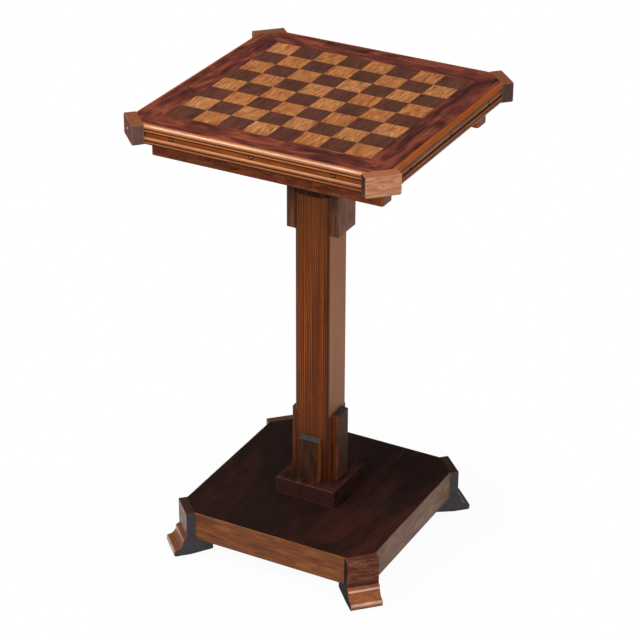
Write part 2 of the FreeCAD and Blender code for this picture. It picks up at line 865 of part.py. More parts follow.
def make_wells(name, side):
    """Return the round wells in one batten that its screw heads sit in."""
    wells = []
    wanted = "(-1 *" if side == "front" else "(1 *"
    for number, (x, y, z) in enumerate(batten_screw_places()):
        if not y.startswith(wanted):
            continue
        well = doc.addObject("Part::Cylinder", f"{name}_{number}")
        well.setExpression("Radius", f"{size('screw_head_radius')} + {size('joint_gap')}")
        well.setExpression("Height", f"{size('batten_screw_recess')} + {size('overrun')}")
        well.setExpression("Placement.Base.x", x)
        well.setExpression("Placement.Base.y", y)
        well.setExpression("Placement.Base.z", f"{BATTEN_BOTTOM} - {size('overrun')}")
        wells.append(well)
    group = doc.addObject("Part::Compound", name)
    group.Links = wells
    doc.recompute()
    return group


def make_base():
    """Feet, rails, glue blocks, panel and plinth, with the screws between them."""
    make_rails()
    make_feet()
    make_glue_blocks()
    half = f"({size('plinth_screw_spacing')} / 2)"
    places = [
        (f"({x} * {half})", f"({y} * {half})", PANEL_BOTTOM)
        for x in (-1, 1) for y in (-1, 1)
    ]
    screws = make_screws("plinth_screws", "plinth_screw_length", places)
    cut_with(make_base_panel(), [screws], "base_panel")
    cut_with(make_plinth(), [screws], "plinth")


def make_top():
    """Core, squares, borders, mouldings, corner blocks and battens."""
    nails = make_nails()
    pins = make_pins()
    screws = make_screws("batten_screws", "batten_screw_length", batten_screw_places())
    cut_with(make_core(), [nails, pins, screws], "top_core")
    make_squares("dark_squares", "dark")
    make_squares("light_squares", "light")
    make_borders()
    make_mouldings(nails)
    make_corner_blocks(pins)
    make_battens(screws)


def check_and_write():
    """Stop on any failed object, then write one file for each sub-part."""
    doc.recompute()
    failed = [
        item.Name for item in doc.Objects
        if "Invalid" in item.State or "Error" in item.State
    ]
    if failed:
        raise RuntimeError(f"failed objects: {failed}")
    os.makedirs("parts", exist_ok=True)
    for item in nodes:
        shape = item.Shape
        if shape.isNull() or not shape.isValid():
            raise RuntimeError(f"{item.Label} has no valid shape")
    for item in nodes:
        item.Shape.exportStep(os.path.join("parts", f"{item.Label}.step"))
        print(f"{item.Label}: {len(item.Shape.Solids)} solids, {item.Shape.Volume:.1f} mm3")


fill_sheet()
make_base()
make_column()
make_buttresses()
make_top()
check_and_write()
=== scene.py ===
"""Looks of the pedestal chess table: eased and grained woods, brass fixings, a plain studio."""

import logging
import math
from abc import ABC, abstractmethod
from collections.abc import Iterable
from dataclasses import dataclass, field, replace
from enum import Enum

import bmesh
import bpy
from mathutils import Matrix, Vector


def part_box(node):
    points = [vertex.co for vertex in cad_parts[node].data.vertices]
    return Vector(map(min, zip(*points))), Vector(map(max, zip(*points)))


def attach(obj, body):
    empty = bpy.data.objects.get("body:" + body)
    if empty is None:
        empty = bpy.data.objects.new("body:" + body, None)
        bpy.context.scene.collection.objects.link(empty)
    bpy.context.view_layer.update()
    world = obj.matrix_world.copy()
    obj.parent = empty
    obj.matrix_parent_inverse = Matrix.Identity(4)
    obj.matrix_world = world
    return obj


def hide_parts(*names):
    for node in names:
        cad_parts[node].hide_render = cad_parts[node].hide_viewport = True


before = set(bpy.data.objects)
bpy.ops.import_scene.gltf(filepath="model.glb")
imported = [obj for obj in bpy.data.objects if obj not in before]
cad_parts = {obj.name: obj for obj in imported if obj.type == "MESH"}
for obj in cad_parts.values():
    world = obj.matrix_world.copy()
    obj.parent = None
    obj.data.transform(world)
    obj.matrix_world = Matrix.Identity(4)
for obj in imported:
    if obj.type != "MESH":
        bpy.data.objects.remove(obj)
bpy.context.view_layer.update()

ROOT = "root"
MM = 0.001
LOG = logging.getLogger("chess_table")

NAILS_A_SIDE = 3
NAIL_PITCH_MM = 128.0

# Points closer than this are one, edges flatter than this go, and edges sharper than this are eased
WELD_MM = 0.005
FLAT_DEGREES = 0.5
SHARP_DEGREES = 32.0

# Where in the tree the wood of a piece was cut: a step, the room and a start on each axis
CUTS_MM = ((7.3, 400.0, 0.0), (3.1, 90.0, 40.0), (1.7, 90.0, 30.0))
# How far apart the cuts of the tiles may be on each axis
TILE_CUTS_MM = (330.0, 190.0, 270.0)

Source = bpy.types.Node | bpy.types.NodeSocket | Vector | tuple | dict | float
Stops = tuple[tuple[float, float], ...]


class Place(Enum):
    """A place round the column, by how far it is turned from the right, in degrees."""

    def __str__(self) -> str:
        """Return the place in the words of the pieces' names."""
        return self.name.lower()


class Side(Place):
    """A side of the table."""

    FRONT = -90.0
    RIGHT = 0.0
    BACK = 90.0
    LEFT = 180.0


class Corner(Place):
    """A corner of the table."""

    BACK_RIGHT = 45.0
    BACK_LEFT = 135.0
    FRONT_LEFT = 225.0
    FRONT_RIGHT = 315.0


class Grain(Enum):
    """The axis that the wood fibres of a piece run along."""

    ALONG_X = "XYZ"
    ALONG_Y = "YXZ"
    ALONG_Z = "ZXY"


class Tone(Enum):
    """What light, hands and dirt have made of the moulding's teak: painted highlights on the
    crests, painted sheen of the pale floor on the sides, and dirt with painted shade in the
    grooves.
    """

    # Painted highlights: the crests of the beads, and their softer edges
    CREST = "E29660"
    WARM = "C07A48"
    BROWN = "86461F"
    # Dirt with painted shade, in the quirks of the front
    DIRT = "461804"
    GOLDEN = "B45C22"
    # Painted sheen of the pale floor on the sides: tan, and a darker umber
    TAN = "AC8064"
    UMBER = "8A5C46"
    # Dark with painted shade, in the grooves of the sides
    SOOT = "32160A"


class Step(Enum):
    """A step that the node trees take more than once: a node's type and its settings."""

    ADD = ("ShaderNodeMath", {"operation": "ADD"})
    SUBTRACT = ("ShaderNodeMath", {"operation": "SUBTRACT"})
    MULTIPLY = ("ShaderNodeMath", {"operation": "MULTIPLY"})
    MULTIPLY_ADD = ("ShaderNodeMath", {"operation": "MULTIPLY_ADD"})
    DIVIDE = ("ShaderNodeMath", {"operation": "DIVIDE"})
    MODULO = ("ShaderNodeMath", {"operation": "MODULO"})
    ABSOLUTE = ("ShaderNodeMath", {"operation": "ABSOLUTE"})
    SQUARE_ROOT = ("ShaderNodeMath", {"operation": "SQRT"})
    PINGPONG = ("ShaderNodeMath", {"operation": "PINGPONG"})
    LEAST = ("ShaderNodeMath", {"operation": "MINIMUM"})
    MOST = ("ShaderNodeMath", {"operation": "MAXIMUM"})
    MOVE = ("ShaderNodeVectorMath", {"operation": "ADD"})
    BETWEEN = ("ShaderNodeVectorMath", {"operation": "SUBTRACT"})
    SCALE = ("ShaderNodeVectorMath", {"operation": "SCALE"})
    TURN = ("ShaderNodeVectorRotate", {"rotation_type": "Z_AXIS"})
    JOIN = ("ShaderNodeCombineXYZ", {})
    SPLIT = ("ShaderNodeSeparateXYZ", {})
    NOISE = ("ShaderNodeTexNoise", {})
    SPAN = ("ShaderNodeMapRange", {})
    SOFT_STEP = ("ShaderNodeMapRange", {"interpolation_type": "SMOOTHSTEP"})
    MIX = ("ShaderNodeMix", {"data_type": "RGBA"})
    CHANCE = ("FunctionNodeRandomValue", {"data_type": "FLOAT"})
    ANGLE = ("FunctionNodeAxisAngleToRotation", {})
    REPEAT = ("GeometryNodeInstanceOnPoints", {})


@dataclass
class Wiring:
    """A node tree that is being wired up."""

    tree: bpy.types.NodeTree

    def add(self, step: Step | str, *sources: Source, **settings: object) -> bpy.types.Node:
        """Add one node, set it up and link what feeds it.

        Args:
            step: a step, or the type of a node that is used once.
            sources: what feeds the sockets in their order, or one dict of socket to source. A
                source is a value, a socket, or a node whose first output is meant.
            settings: more attributes to set on the node.

        Returns:
            The new node.
        """
        kind, ready = step.value if isinstance(step, Step) else (step, {})
        node = self.tree.nodes.new(kind)
        for name, setting in {**ready, **settings}.items():
            setattr(node, name, setting)
        by_socket = dict(enumerate(sources))
        if sources and isinstance(sources[0], dict):
            by_socket = sources[0]
        for socket, source in by_socket.items():
            if isinstance(source, bpy.types.Node):
                source = source.outputs[0]
            if isinstance(source, bpy.types.NodeSocket):
                self.tree.links.new(source, node.inputs[socket])
            else:
                node.inputs[socket].default_value = source
        return node


def linear(colour: str) -> tuple[float, float, float, float]:
    """Turn an sRGB hex colour into linear light.

    Args:
        colour: six hex digits.

    Returns:
        Red, green, blue and an alpha of one.
    """
    parts = [int(colour[i:i + 2], 16) / 255 for i in (0, 2, 4)]
    toned = [c / 12.92 if c <= 0.04045 else ((c + 0.055) / 1.055) ** 2.4 for c in parts]
    return (toned[0], toned[1], toned[2], 1.0)


def below(face: float, stops: Iterable[tuple[float, float]]) -> Stops:
    """Turn depths behind a face into places.

    Args:
        face: where the face lies on its axis, in millimetres.
        stops: pairs of a depth behind the face and a share.

    Returns:
        Pairs of a place on the axis and a share.
    """
    return tuple((face - depth, share) for depth, share in stops)


def blank_tree(owner: bpy.types.Material | bpy.types.World) -> bpy.types.NodeTree:
    """Empty the node tree of a material or a world.

    Args:
        owner: the material or world.

    Returns:
        Its tree, with no node in it.
    """
    owner.use_nodes = True
    owner.node_tree.nodes.clear()
    return owner.node_tree


def new_group(name: str, kind: str, inputs: dict[str, str], outputs: dict[str, str]) -> Wiring:
    """Make a node group with its sockets.

    Args:
        name: the group's name.
        kind: ShaderNodeTree or GeometryNodeTree.
        inputs: each input's name and the end of its socket type's name.
        outputs: the same for the outputs.

    Returns:
        The wiring of the empty group.
    """
    tree = bpy.data.node_groups.new(name, kind)
    for way, sockets in (("INPUT", inputs), ("OUTPUT", outputs)):
        for label, socket in sockets.items():
            tree.interface.new_socket(name=label, in_out=way, socket_type="NodeSocket" + socket)
    return Wiring(tree)


# The figure and the wear of wood

@dataclass(frozen=True)
class Figure:
    """How a hardwood's figure is drawn.

    The noise of streaks and clouds has a detail and a bend. That of flecks and pores has a
    stretch along the fibres, a width in millimetres and a detail. A strength is how far a layer
    at full share moves the figure's lightness. An edge is where a fleck or pore starts and
    where it is whole.
    """

    plain_detail: float = 2.0
    streak_noise: tuple[float, float] = (3.0, 0.2)
    streak_strength: float = 2.6
    fine_stretch_share: float = 1.3
    fine_width_share: float = 0.4
    fine_strength: float = 1.7
    cloud_stretch: float = 2.6
    cloud_noise: tuple[float, float] = (5.0, 1.1)
    cloud_strength: float = 3.2
    sway_stretch_share: float = 0.4
    sway_mm: float = 38.0
    sway_reach_mm: float = 34.0
    straight_mm: float = 800.0
    ring_strength: float = 2.0
    fleck_noise: tuple[float, float, float] = (14.0, 1.2, 2.0)
    fleck_edge: tuple[float, float] = (0.06, 0.2)
    pore_noise: tuple[float, float, float] = (26.0, 1.0, 1.0)
    pore_edge: tuple[float, float] = (0.05, 0.2)

    def group(self) -> bpy.types.NodeTree:
        """Build streaks, fine fibres, clouds, growth rings, flecks and pores.

        Returns:
            A group that reads millimetres with the fibres along X.
        """
        colours = ("Dark", "Middle", "Light", "Fleck")
        numbers = ("Streak Width", "Stretch", "Streak Share", "Cloud Width", "Cloud Share",
                   "Ring Width", "Ring Share", "Fleck Share", "Pore Share")
        wiring = new_group("wood_figure", "ShaderNodeTree", {
            "Place": "Vector", **dict.fromkeys(colours, "Color"),
            **dict.fromkeys(numbers, "Float")}, {
            "Color": "Color", "Height": "Float", "Tone": "Float"})
        add = wiring.add
        given = add("NodeGroupInput").outputs

        def layer(stretch: Source, width: Source, detail: float = self.plain_detail,
                  bend: float = 0.0) -> bpy.types.Node:
            """Draw one layer of the figure out along the fibres.

            Args:
                stretch: how many times longer than wide its marks are.
                width: how wide they are, in millimetres.
                detail: how many finer layers of noise it has.
                bend: how far they are bent.

            Returns:
                The layer, centred on zero.
            """
            short = add(Step.JOIN, add(Step.DIVIDE, 1.0, stretch), 1.0, 1.0)
            place = add("ShaderNodeVectorMath", given["Place"], short, operation="MULTIPLY")
            factor = add(Step.NOISE, {"Vector": place, "Scale": add(Step.DIVIDE, 1.0, width),
                                      "Detail": detail, "Distortion": bend})
            return add(Step.SUBTRACT, factor, 0.5)

        streaks = layer(given["Stretch"], given["Streak Width"], *self.streak_noise)
        fine = layer(add(Step.MULTIPLY, given["Stretch"], self.fine_stretch_share),
                     add(Step.MULTIPLY, given["Streak Width"], self.fine_width_share))
        clouds = layer(self.cloud_stretch, given["Cloud Width"], *self.cloud_noise)
        sway = layer(add(Step.MULTIPLY, given["Stretch"], self.sway_stretch_share),
                     self.sway_mm)
        _, y, z = add(Step.SPLIT, given["Place"]).outputs
        radius = add(Step.SQUARE_ROOT, add(Step.MULTIPLY_ADD, y, y, add(Step.MULTIPLY, z, z)))
        reach = add(Step.LEAST, add(Step.DIVIDE, self.straight_mm, given["Stretch"]),
                    self.sway_reach_mm)
        rings = add(Step.DIVIDE, add(Step.MULTIPLY_ADD, sway, reach, radius), given["Ring Width"])
        late = add(Step.SUBTRACT, add(Step.PINGPONG, rings, 0.5), 0.25)
        tone: Source = 0.5
        for part, share, strength in ((streaks, "Streak Share", self.streak_strength),
                                      (fine, "Streak Share", self.fine_strength),
                                      (clouds, "Cloud Share", self.cloud_strength),
                                      (late, "Ring Share", self.ring_strength)):
            weight = add(Step.MULTIPLY, given[share], strength)
            tone = add(Step.MULTIPLY_ADD, part, weight, tone, use_clamp=part is late)
        flecks = add(Step.SOFT_STEP, layer(*self.fleck_noise), *self.fleck_edge)
        colour = given["Dark"]
        for share, shade in ((add(Step.MULTIPLY, tone, 2.0, use_clamp=True), "Middle"),
                             (add(Step.MULTIPLY_ADD, tone, 2.0, -1.0, use_clamp=True), "Light"),
                             (add(Step.MULTIPLY, flecks, given["Fleck Share"]), "Fleck")):
            colour = add(Step.MIX, {0: share, 6: colour, 7: given[shade]}).outputs[2]
        pores = add(Step.SOFT_STEP, layer(*self.pore_noise), *self.pore_edge)
        shade = add(Step.MULTIPLY_ADD, pores, add(Step.MULTIPLY, given["Pore Share"], -1.0), 1.0)
        add("NodeGroupOutput", {"Color": add(Step.SCALE, {0: colour, "Scale": shade}),
                                "Height": add(Step.MULTIPLY_ADD, pores, -1.0, fine),
                                "Tone": tone})
        return wiring.tree


@dataclass(frozen=True)
class WornEdges:
    """A mask that is strong along the long edges of a box and broken by patches, for wear and
    painted highlights.
    """

    patches_a_mm: float = 0.09
    detail: float = 3.0

    def group(self) -> bpy.types.NodeTree:
        """Build the mask from the second least depth under the box's faces.

        Returns:
            A group that reads millimetres in the piece's own directions.
        """
        wiring = new_group("worn_edges", "ShaderNodeTree", {
            "Place": "Vector", "Middle": "Vector", "Half": "Vector", "Width": "Float"},
            {"Mask": "Float"})
        add = wiring.add
        given = add("NodeGroupInput").outputs
        away = add(Step.BETWEEN, given["Place"], given["Middle"])
        away = add("ShaderNodeVectorMath", away, operation="ABSOLUTE")
        x, y, z = add(Step.SPLIT, add(Step.BETWEEN, given["Half"], away)).outputs
        total, least, most = (add(step, add(step, x, y), z)
                              for step in (Step.ADD, Step.LEAST, Step.MOST))
        second = add(Step.SUBTRACT, add(Step.SUBTRACT, total, least), most)
        patches = add(Step.NOISE, {"Vector": given["Place"], "Scale": self.patches_a_mm,
                                   "Detail": self.detail})
        reach = add(Step.MULTIPLY, given["Width"], add(Step.MULTIPLY, patches, 2.0))
        add("NodeGroupOutput", {"Mask": add(Step.SOFT_STEP, second, 0.0, reach, 1.0, 0.0)})
        return wiring.tree


FIGURE = Figure().group()
WORN_AND_HIGHLIT = WornEdges().group()


@dataclass
class Face(Wiring):
    """The faces of one piece while its material is wired up.

    Axes are the place in the piece's own directions in millimetres, and as the fourth
    |X| + |Y|, which is greatest along the arrises of a post. The tone is how light the figure is.
    """

    axes: list[Source] = field(default_factory=list)
    tone: Source = 0.5

    def along(self, axis: int, stops: list[tuple[float, tuple]]) -> bpy.types.Node:
        """Read a colour and a share that change along one axis.

        Args:
            axis: the number of the axis.
            stops: places on the axis in millimetres, each with red, green, blue and a share.

        Returns:
            A node that gives the colour, and the share as its alpha.
        """
        first, last = stops[0][0], stops[-1][0]
        ramp = self.add("ShaderNodeValToRGB", self.add(Step.SPAN, self.axes[axis], first, last))
        elements = ramp.color_ramp.elements
        for number, (place, colour) in enumerate(stops):
            spot = (place - first) / (last - first)
            element = elements[number] if number < 2 else elements.new(spot)
            element.position = spot
            element.color = colour
        return ramp

    def broken(self, grained: float, low: float, high: float) -> bpy.types.Node:
        """Let the dark streaks of the figure break up a mark.

        Args:
            grained: how much of the mark they take away.
            low: the lightness where they take it all.
            high: the lightness where they leave it whole.

        Returns:
            The share that stays.
        """
        light = self.add(Step.SOFT_STEP, self.tone, low, high)
        return self.add(Step.MULTIPLY_ADD, light, grained, 1.0 - grained)


class Mark(ABC):
    """A mark that age, hands or a tool has left, laid over the wood's figure."""

    @abstractmethod
    def read(self, face: Face) -> tuple[Source, Source]:
        """Return the mark's share, from 0 to 1, and its colour."""

    def lay(self, face: Face, colour: Source) -> bpy.types.NodeSocket:
        """Lay the mark over a colour.

        Args:
            face: the piece's faces.
            colour: what is under the mark.

        Returns:
            The new colour.
        """
        share, tint = self.read(face)
        return face.add(Step.MIX, {0: share, 6: colour, 7: tint}).outputs[2]


@dataclass(frozen=True)
class Band(Mark):
    """A change of colour along one axis of a piece, such as grime in a groove.

    Stops are pairs of a place on the axis in millimetres and a share of the band's colour. A
    limit is an axis and the two places on it that the band keeps between, and fade_mm is how
    far it takes to fade in there. break_up is the lightness of the figure at which a wholly
    grained band is gone, and the lightness at which it is whole.
    """

    axis: int
    stops: Stops
    colour: str
    grained: float = 0.0
    dull: bool = False
    limits: tuple[tuple[int, float, float], ...] = ()
    fade_mm: float = 0.4
    break_up: tuple[float, float] = (0.3, 0.7)

    def share(self, face: Face) -> bpy.types.Node:
        """Read how strong the band is.

        Args:
            face: the piece's faces.

        Returns:
            The share, from 0 to 1.
        """
        along = face.along(self.axis, [(place, (part, part, part, 1.0))
                                       for place, part in self.stops])
        broken = face.broken(self.grained, *self.break_up)
        share = face.add(Step.MULTIPLY, along, broken, use_clamp=True)
        for axis, low, high in self.limits:
            place = face.axes[axis]
            past = face.add(Step.SOFT_STEP, place, low, low + self.fade_mm)
            short = face.add(Step.SOFT_STEP, place, high - self.fade_mm, high, 1.0, 0.0)
            share = face.add(Step.MULTIPLY, share, face.add(Step.MULTIPLY, past, short))
        return share

    def read(self, face: Face) -> tuple[Source, Source]:
        """Return the band's share and its colour."""
        return self.share(face), linear(self.colour)


@dataclass(frozen=True)
class Layers(Mark):
    """The tones across a moulding, from its top down: what dirt and handling have left, with
    painted highlights on the beads, painted sheen on the sides and painted shade in the grooves.

    Stops are a depth under the top in millimetres, a tone and the tone's share. break_up is as
    for a band.
    """

    top: float
    stops: tuple[tuple[float, Tone, float], ...]
    grained: float
    break_up: tuple[float, float] = (0.25, 0.75)

    def read(self, face: Face) -> tuple[Source, Source]:
        """Draw the layers.

        Args:
            face: the piece's faces.

        Returns:
            The layers' share and their colours.
        """
        along = face.along(2, [(self.top - depth, (*linear(tone.value)[:3], part))
                               for depth, tone, part in self.stops]).outputs
        broken = face.broken(self.grained, *self.break_up)
        return face.add(Step.MULTIPLY, along["Alpha"], broken), along["Color"]


@dataclass(frozen=True)
class Hatch(Mark):
    """Slanting saw marks on the face at one end of Y, in patches.

    Lengths are in millimetres and the slant is in degrees from the level. A line and a patch
    have the two readings between which they fade in, and depths are those between which the
    marks fade out behind the face.
    """

    face_mm: float
    pitch: float = 4.8
    slant: float = 62.0
    strength: float = 0.45
    colour: str = "643A34"
    patch: float = 26.0
    line_edge: tuple[float, float] = (0.1, 0.4)
    patch_edge: tuple[float, float] = (0.2, 0.5)
    depths: tuple[float, float] = (0.3, 0.9)

    def read(self, face: Face) -> tuple[Source, Source]:
        """Draw the marks.

        Args:
            face: the piece's faces.

        Returns:
            The marks' share and their colour.
        """
        slant = math.radians(self.slant)
        x, y, z, _ = face.axes
        along = face.add(Step.MULTIPLY, x, math.sin(slant) / self.pitch)
        phase = face.add(Step.MULTIPLY_ADD, z, -math.cos(slant) / self.pitch, along)
        phase = face.add(Step.ADD, phase, face.tone)
        line = face.add(Step.SOFT_STEP, face.add(Step.PINGPONG, phase, 0.5), *self.line_edge)
        patches = face.add(Step.NOISE, {"W": x, "Scale": 1 / self.patch, "Detail": 2.0},
                           noise_dimensions="1D")
        share = face.add(Step.SOFT_STEP, patches, *self.patch_edge)
        share = face.add(Step.MULTIPLY, share, self.strength)
        depth = face.add(Step.ABSOLUTE, face.add(Step.SUBTRACT, y, self.face_mm))
        near = face.add(Step.SOFT_STEP, depth, *self.depths, 1.0, 0.0)
        share = face.add(Step.MULTIPLY, share, near)
        return face.add(Step.MULTIPLY, line, share), linear(self.colour)


@dataclass(frozen=True)
class Stain(Mark):
    """A dark ring that a metal fixing has left in the wood round it.

    Lengths are in millimetres. The stain repeats along the piece's own Y.
    """

    height: float
    pitch: float
    radius: float
    colour: str = "1C0E0A"

    def read(self, face: Face) -> tuple[Source, Source]:
        """Draw the rings.

        Args:
            face: the piece's faces.

        Returns:
            The rings' share and their colour.
        """
        across = face.add("ShaderNodeMath", face.axes[1], -self.pitch / 2, self.pitch / 2,
                          operation="WRAP")
        above = face.add(Step.SUBTRACT, face.axes[2], self.height)
        square = face.add(Step.MULTIPLY, above, above)
        far = face.add(Step.SQUARE_ROOT, face.add(Step.MULTIPLY_ADD, across, across, square))
        ring = face.add(Step.SOFT_STEP, far, self.radius / 2, self.radius, 1.0, 0.0)
        return ring, linear(self.colour)


@dataclass(frozen=True)
class WoodFinish:
    """A waxed hardwood, planed and scraped by hand, that time has darkened.

    Colours are sRGB hex, widths are in millimetres and shares run from 0 to 1. polish is the
    strength of the wax where it has stayed. roughness_swing is added where the figure is darkest
    and where it is lightest. end_facing is between which facings the end grain fades in, and
    end_tone how the figure's lightness is scaled and lifted there. flecked_tiles is between
    which of the tiles' numbers the flecks come in.
    """

    name: str
    dark: str
    middle: str
    light: str
    # The pale colour of the edges, for wear and for painted highlights along them
    worn: str
    end: str
    fleck: str = "D8A878"
    streak_mm: float = 3.0
    stretch: float = 24.0
    streak_share: float = 0.4
    cloud_mm: float = 22.0
    cloud_share: float = 0.25
    ring_mm: float = 9.0
    ring_share: float = 0.1
    fleck_share: float = 0.0
    pore_share: float = 0.2
    worn_mm: float = 2.4
    worn_share: float = 0.4
    roughness: float = 0.5
    gloss: float = 0.25
    polish: float = 1.0
    wax_roughness: float = 0.24
    wax_ior: float = 2.1
    wood_ior: float = 1.5
    relief: float = 0.3
    relief_mm: float = 0.3
    roughness_swing: tuple[float, float] = (0.06, -0.05)
    end_facing: tuple[float, float] = (0.75, 0.9)
    end_tone: tuple[float, float] = (0.7, 0.65)
    flecked_tiles: tuple[float, float] = (0.35, 0.65)

    def make(self, piece: str, box: tuple[Vector, Vector], grain: Grain, turn: float = 0.0,
             marks: tuple[Mark, ...] = (), polished: Band | None = None,
             tile_attribute: str = "") -> bpy.types.Material:
        """Make the material of one piece.

        Args:
            piece: the piece's name, which also sets where in the tree its wood was cut.
            box: the piece's corners in metres, in its own directions.
            grain: the axis of the fibres, in the piece's own directions.
            turn: how far the piece is turned about the column, in degrees.
            marks: what is laid over the figure, from the lowest up.
            polished: where the polish has stayed; nowhere if it is not given.
            tile_attribute: a number per tile that gives each one a cut of its own.

        Returns:
            The finished material.
        """
        material = bpy.data.materials.new(f"{self.name}_{piece}")
        face = Face(blank_tree(material))
        given = face.add("ShaderNodeTexCoord").outputs
        place, facing = (face.add(Step.TURN, {"Vector": given[name], "Angle": -math.radians(turn)})
                         for name in ("Object", "Normal"))
        place = face.add(Step.SCALE, {0: place, "Scale": 1 / MM})
        face.axes = list(face.add(Step.SPLIT, place).outputs)
        face.axes.append(face.add(Step.ADD, *(face.add(Step.ABSOLUTE, axis)
                                              for axis in face.axes[:2])))
        figure = self.figure(face, piece, grain, tile_attribute)
        face.tone = figure["Tone"]
        colour = self.end_grain(face, facing, grain, figure["Color"])
        colour = self.worn_edges(face, place, box, colour)
        for mark in marks:
            colour = mark.lay(face, colour)
        darkest, lightest = (self.roughness + swing for swing in self.roughness_swing)
        rough = face.add(Step.SPAN, {"Value": face.tone, "To Min": darkest, "To Max": lightest})
        for mark in marks:
            if isinstance(mark, Band) and mark.dull:
                rough = face.add(Step.MOST, rough, mark.share(face))
        bump = face.add("ShaderNodeBump", {"Strength": self.relief, "Height": figure["Height"],
                                           "Distance": self.relief_mm * MM})
        shader = face.add("ShaderNodeBsdfPrincipled", {
            "Base Color": colour, "Roughness": rough, "Normal": bump, "IOR": self.wood_ior,
            "Specular IOR Level": self.gloss})
        if polished:
            wax = face.add(Step.MULTIPLY, polished.share(face), self.polish)
            face.tree.links.new(wax.outputs[0], shader.inputs["Coat Weight"])
            shader.inputs["Coat Roughness"].default_value = self.wax_roughness
            shader.inputs["Coat IOR"].default_value = self.wax_ior
        face.add("ShaderNodeOutputMaterial", shader)
        return material

    def figure(self, face: Face, piece: str, grain: Grain,
               tile_attribute: str) -> bpy.types.NodeOutputs:
        """Lay the wood's figure along the grain.

        Args:
            face: the piece's faces.
            piece: the piece's name.
            grain: the axis of the fibres.
            tile_attribute: a number per tile, or nothing.

        Returns:
            The figure's colour, height and tone.
        """
        fibres = face.add(Step.JOIN, *(face.axes["XYZ".index(axis)] for axis in grain.value))
        seed = sum(ord(letter) * (number + 1) for number, letter in enumerate(piece))
        cut = tuple(seed * step % room + start for step, room, start in CUTS_MM)
        fibres = face.add(Step.MOVE, fibres, cut)
        flecked: Source = self.fleck_share
        if tile_attribute:
            tile = face.add("ShaderNodeAttribute", attribute_name=tile_attribute).outputs["Fac"]
            apart = face.add(Step.SCALE, {0: TILE_CUTS_MM, "Scale": tile})
            fibres = face.add(Step.MOVE, fibres, apart)
            chosen = face.add(Step.SOFT_STEP, tile, *self.flecked_tiles)
            flecked = face.add(Step.MULTIPLY, chosen, self.fleck_share)
        return face.add("ShaderNodeGroup", {
            "Place": fibres, "Dark": linear(self.dark), "Middle": linear(self.middle),
            "Light": linear(self.light), "Fleck": linear(self.fleck),
            "Streak Width": self.streak_mm, "Stretch": self.stretch,
            "Streak Share": self.streak_share, "Cloud Width": self.cloud_mm,
            "Cloud Share": self.cloud_share, "Ring Width": self.ring_mm,
            "Ring Share": self.ring_share, "Fleck Share": flecked,
            "Pore Share": self.pore_share}, node_tree=FIGURE).outputs

    def end_grain(self, face: Face, facing: Source, grain: Grain,
                  colour: Source) -> bpy.types.NodeSocket:
        """Darken the faces that cut across the fibres, which have drunk more stain; where the end
        colour is blue-grey, it is also a painted sheen.

        Args:
            face: the piece's faces.
            facing: which way they face, in the piece's own directions.
            grain: the axis of the fibres.
            colour: the figure's colour.

        Returns:
            The new colour.
        """
        across = face.add(Step.ABSOLUTE, face.add(Step.SPLIT, facing).outputs[grain.value[0]])
        mask = face.add(Step.SOFT_STEP, across, *self.end_facing)
        tone = face.add(Step.MULTIPLY_ADD, face.tone, *self.end_tone)
        end = face.add(Step.SCALE, {0: linear(self.end)[:3], "Scale": tone})
        return face.add(Step.MIX, {0: mask, 6: colour, 7: end}).outputs[2]

    def worn_edges(self, face: Face, place: Source, box: tuple[Vector, Vector],
                   colour: Source) -> bpy.types.NodeSocket:
        """Rub the edges pale, for wear and for painted highlights along them.

        Args:
            face: the piece's faces.
            place: the place in the piece's own directions, in millimetres.
            box: the piece's corners in metres.
            colour: the colour so far.

        Returns:
            The new colour.
        """
        low, high = (corner / MM for corner in box)
        edge = face.add("ShaderNodeGroup", {
            "Place": place, "Middle": (low + high) / 2, "Half": (high - low) / 2,
            "Width": self.worn_mm}, node_tree=WORN_AND_HIGHLIT)
        share = face.add(Step.MULTIPLY, edge, self.worn_share)
        return face.add(Step.MIX, {0: share, 6: colour, 7: linear(self.worn)}).outputs[2]


@dataclass(frozen=True)
class MetalFinish:
    """A plain metal fixing, dulled by handling.

    bareness is the share of the face that is bare metal; dust and old lacquer cover the rest.
    roughness_swing is added where the metal is cleanest and where it is most tarnished.
    """

    name: str
    colour: str
    tarnish: str
    roughness: float = 0.35
    roughness_swing: tuple[float, float] = (-0.08, 0.15)
    grit_mm: float = 1.2
    bareness: float = 1.0

    def make(self) -> bpy.types.Material:
        """Make the material, with darker tarnish in small patches.

        Returns:
            The finished material.
        """
        material = bpy.data.materials.new(self.name)
        metal = Wiring(blank_tree(material))
        place = metal.add("ShaderNodeTexCoord").outputs["Object"]
        patches = metal.add(Step.NOISE, {"Vector": place, "Scale": 1 / (self.grit_mm * MM),
                                         "Detail": 3.0})
        colour = metal.add(Step.MIX, {0: patches, 6: linear(self.colour),
                                      7: linear(self.tarnish)}).outputs[2]
        clean, dull = (self.roughness + swing for swing in self.roughness_swing)
        rough = metal.add(Step.SPAN, {"Value": patches, "To Min": clean, "To Max": dull})
        shader = metal.add("ShaderNodeBsdfPrincipled", {
            "Base Color": colour, "Metallic": self.bareness, "Roughness": rough})
        metal.add("ShaderNodeOutputMaterial", shader)
        return material


# Satinwood, planed and waxed: golden, and in every second tile or so bright flecks
SATINWOOD = WoodFinish("satinwood", "703819", "B46C39", "DE9C5C", "BE7F4E", "A06436",
                       fleck="F0C488", streak_mm=1.4, stretch=14, streak_share=0.85,
                       cloud_share=0.15, fleck_share=0.9, worn_share=0.15, worn_mm=0.8,
                       gloss=0.15, pore_share=0.3)
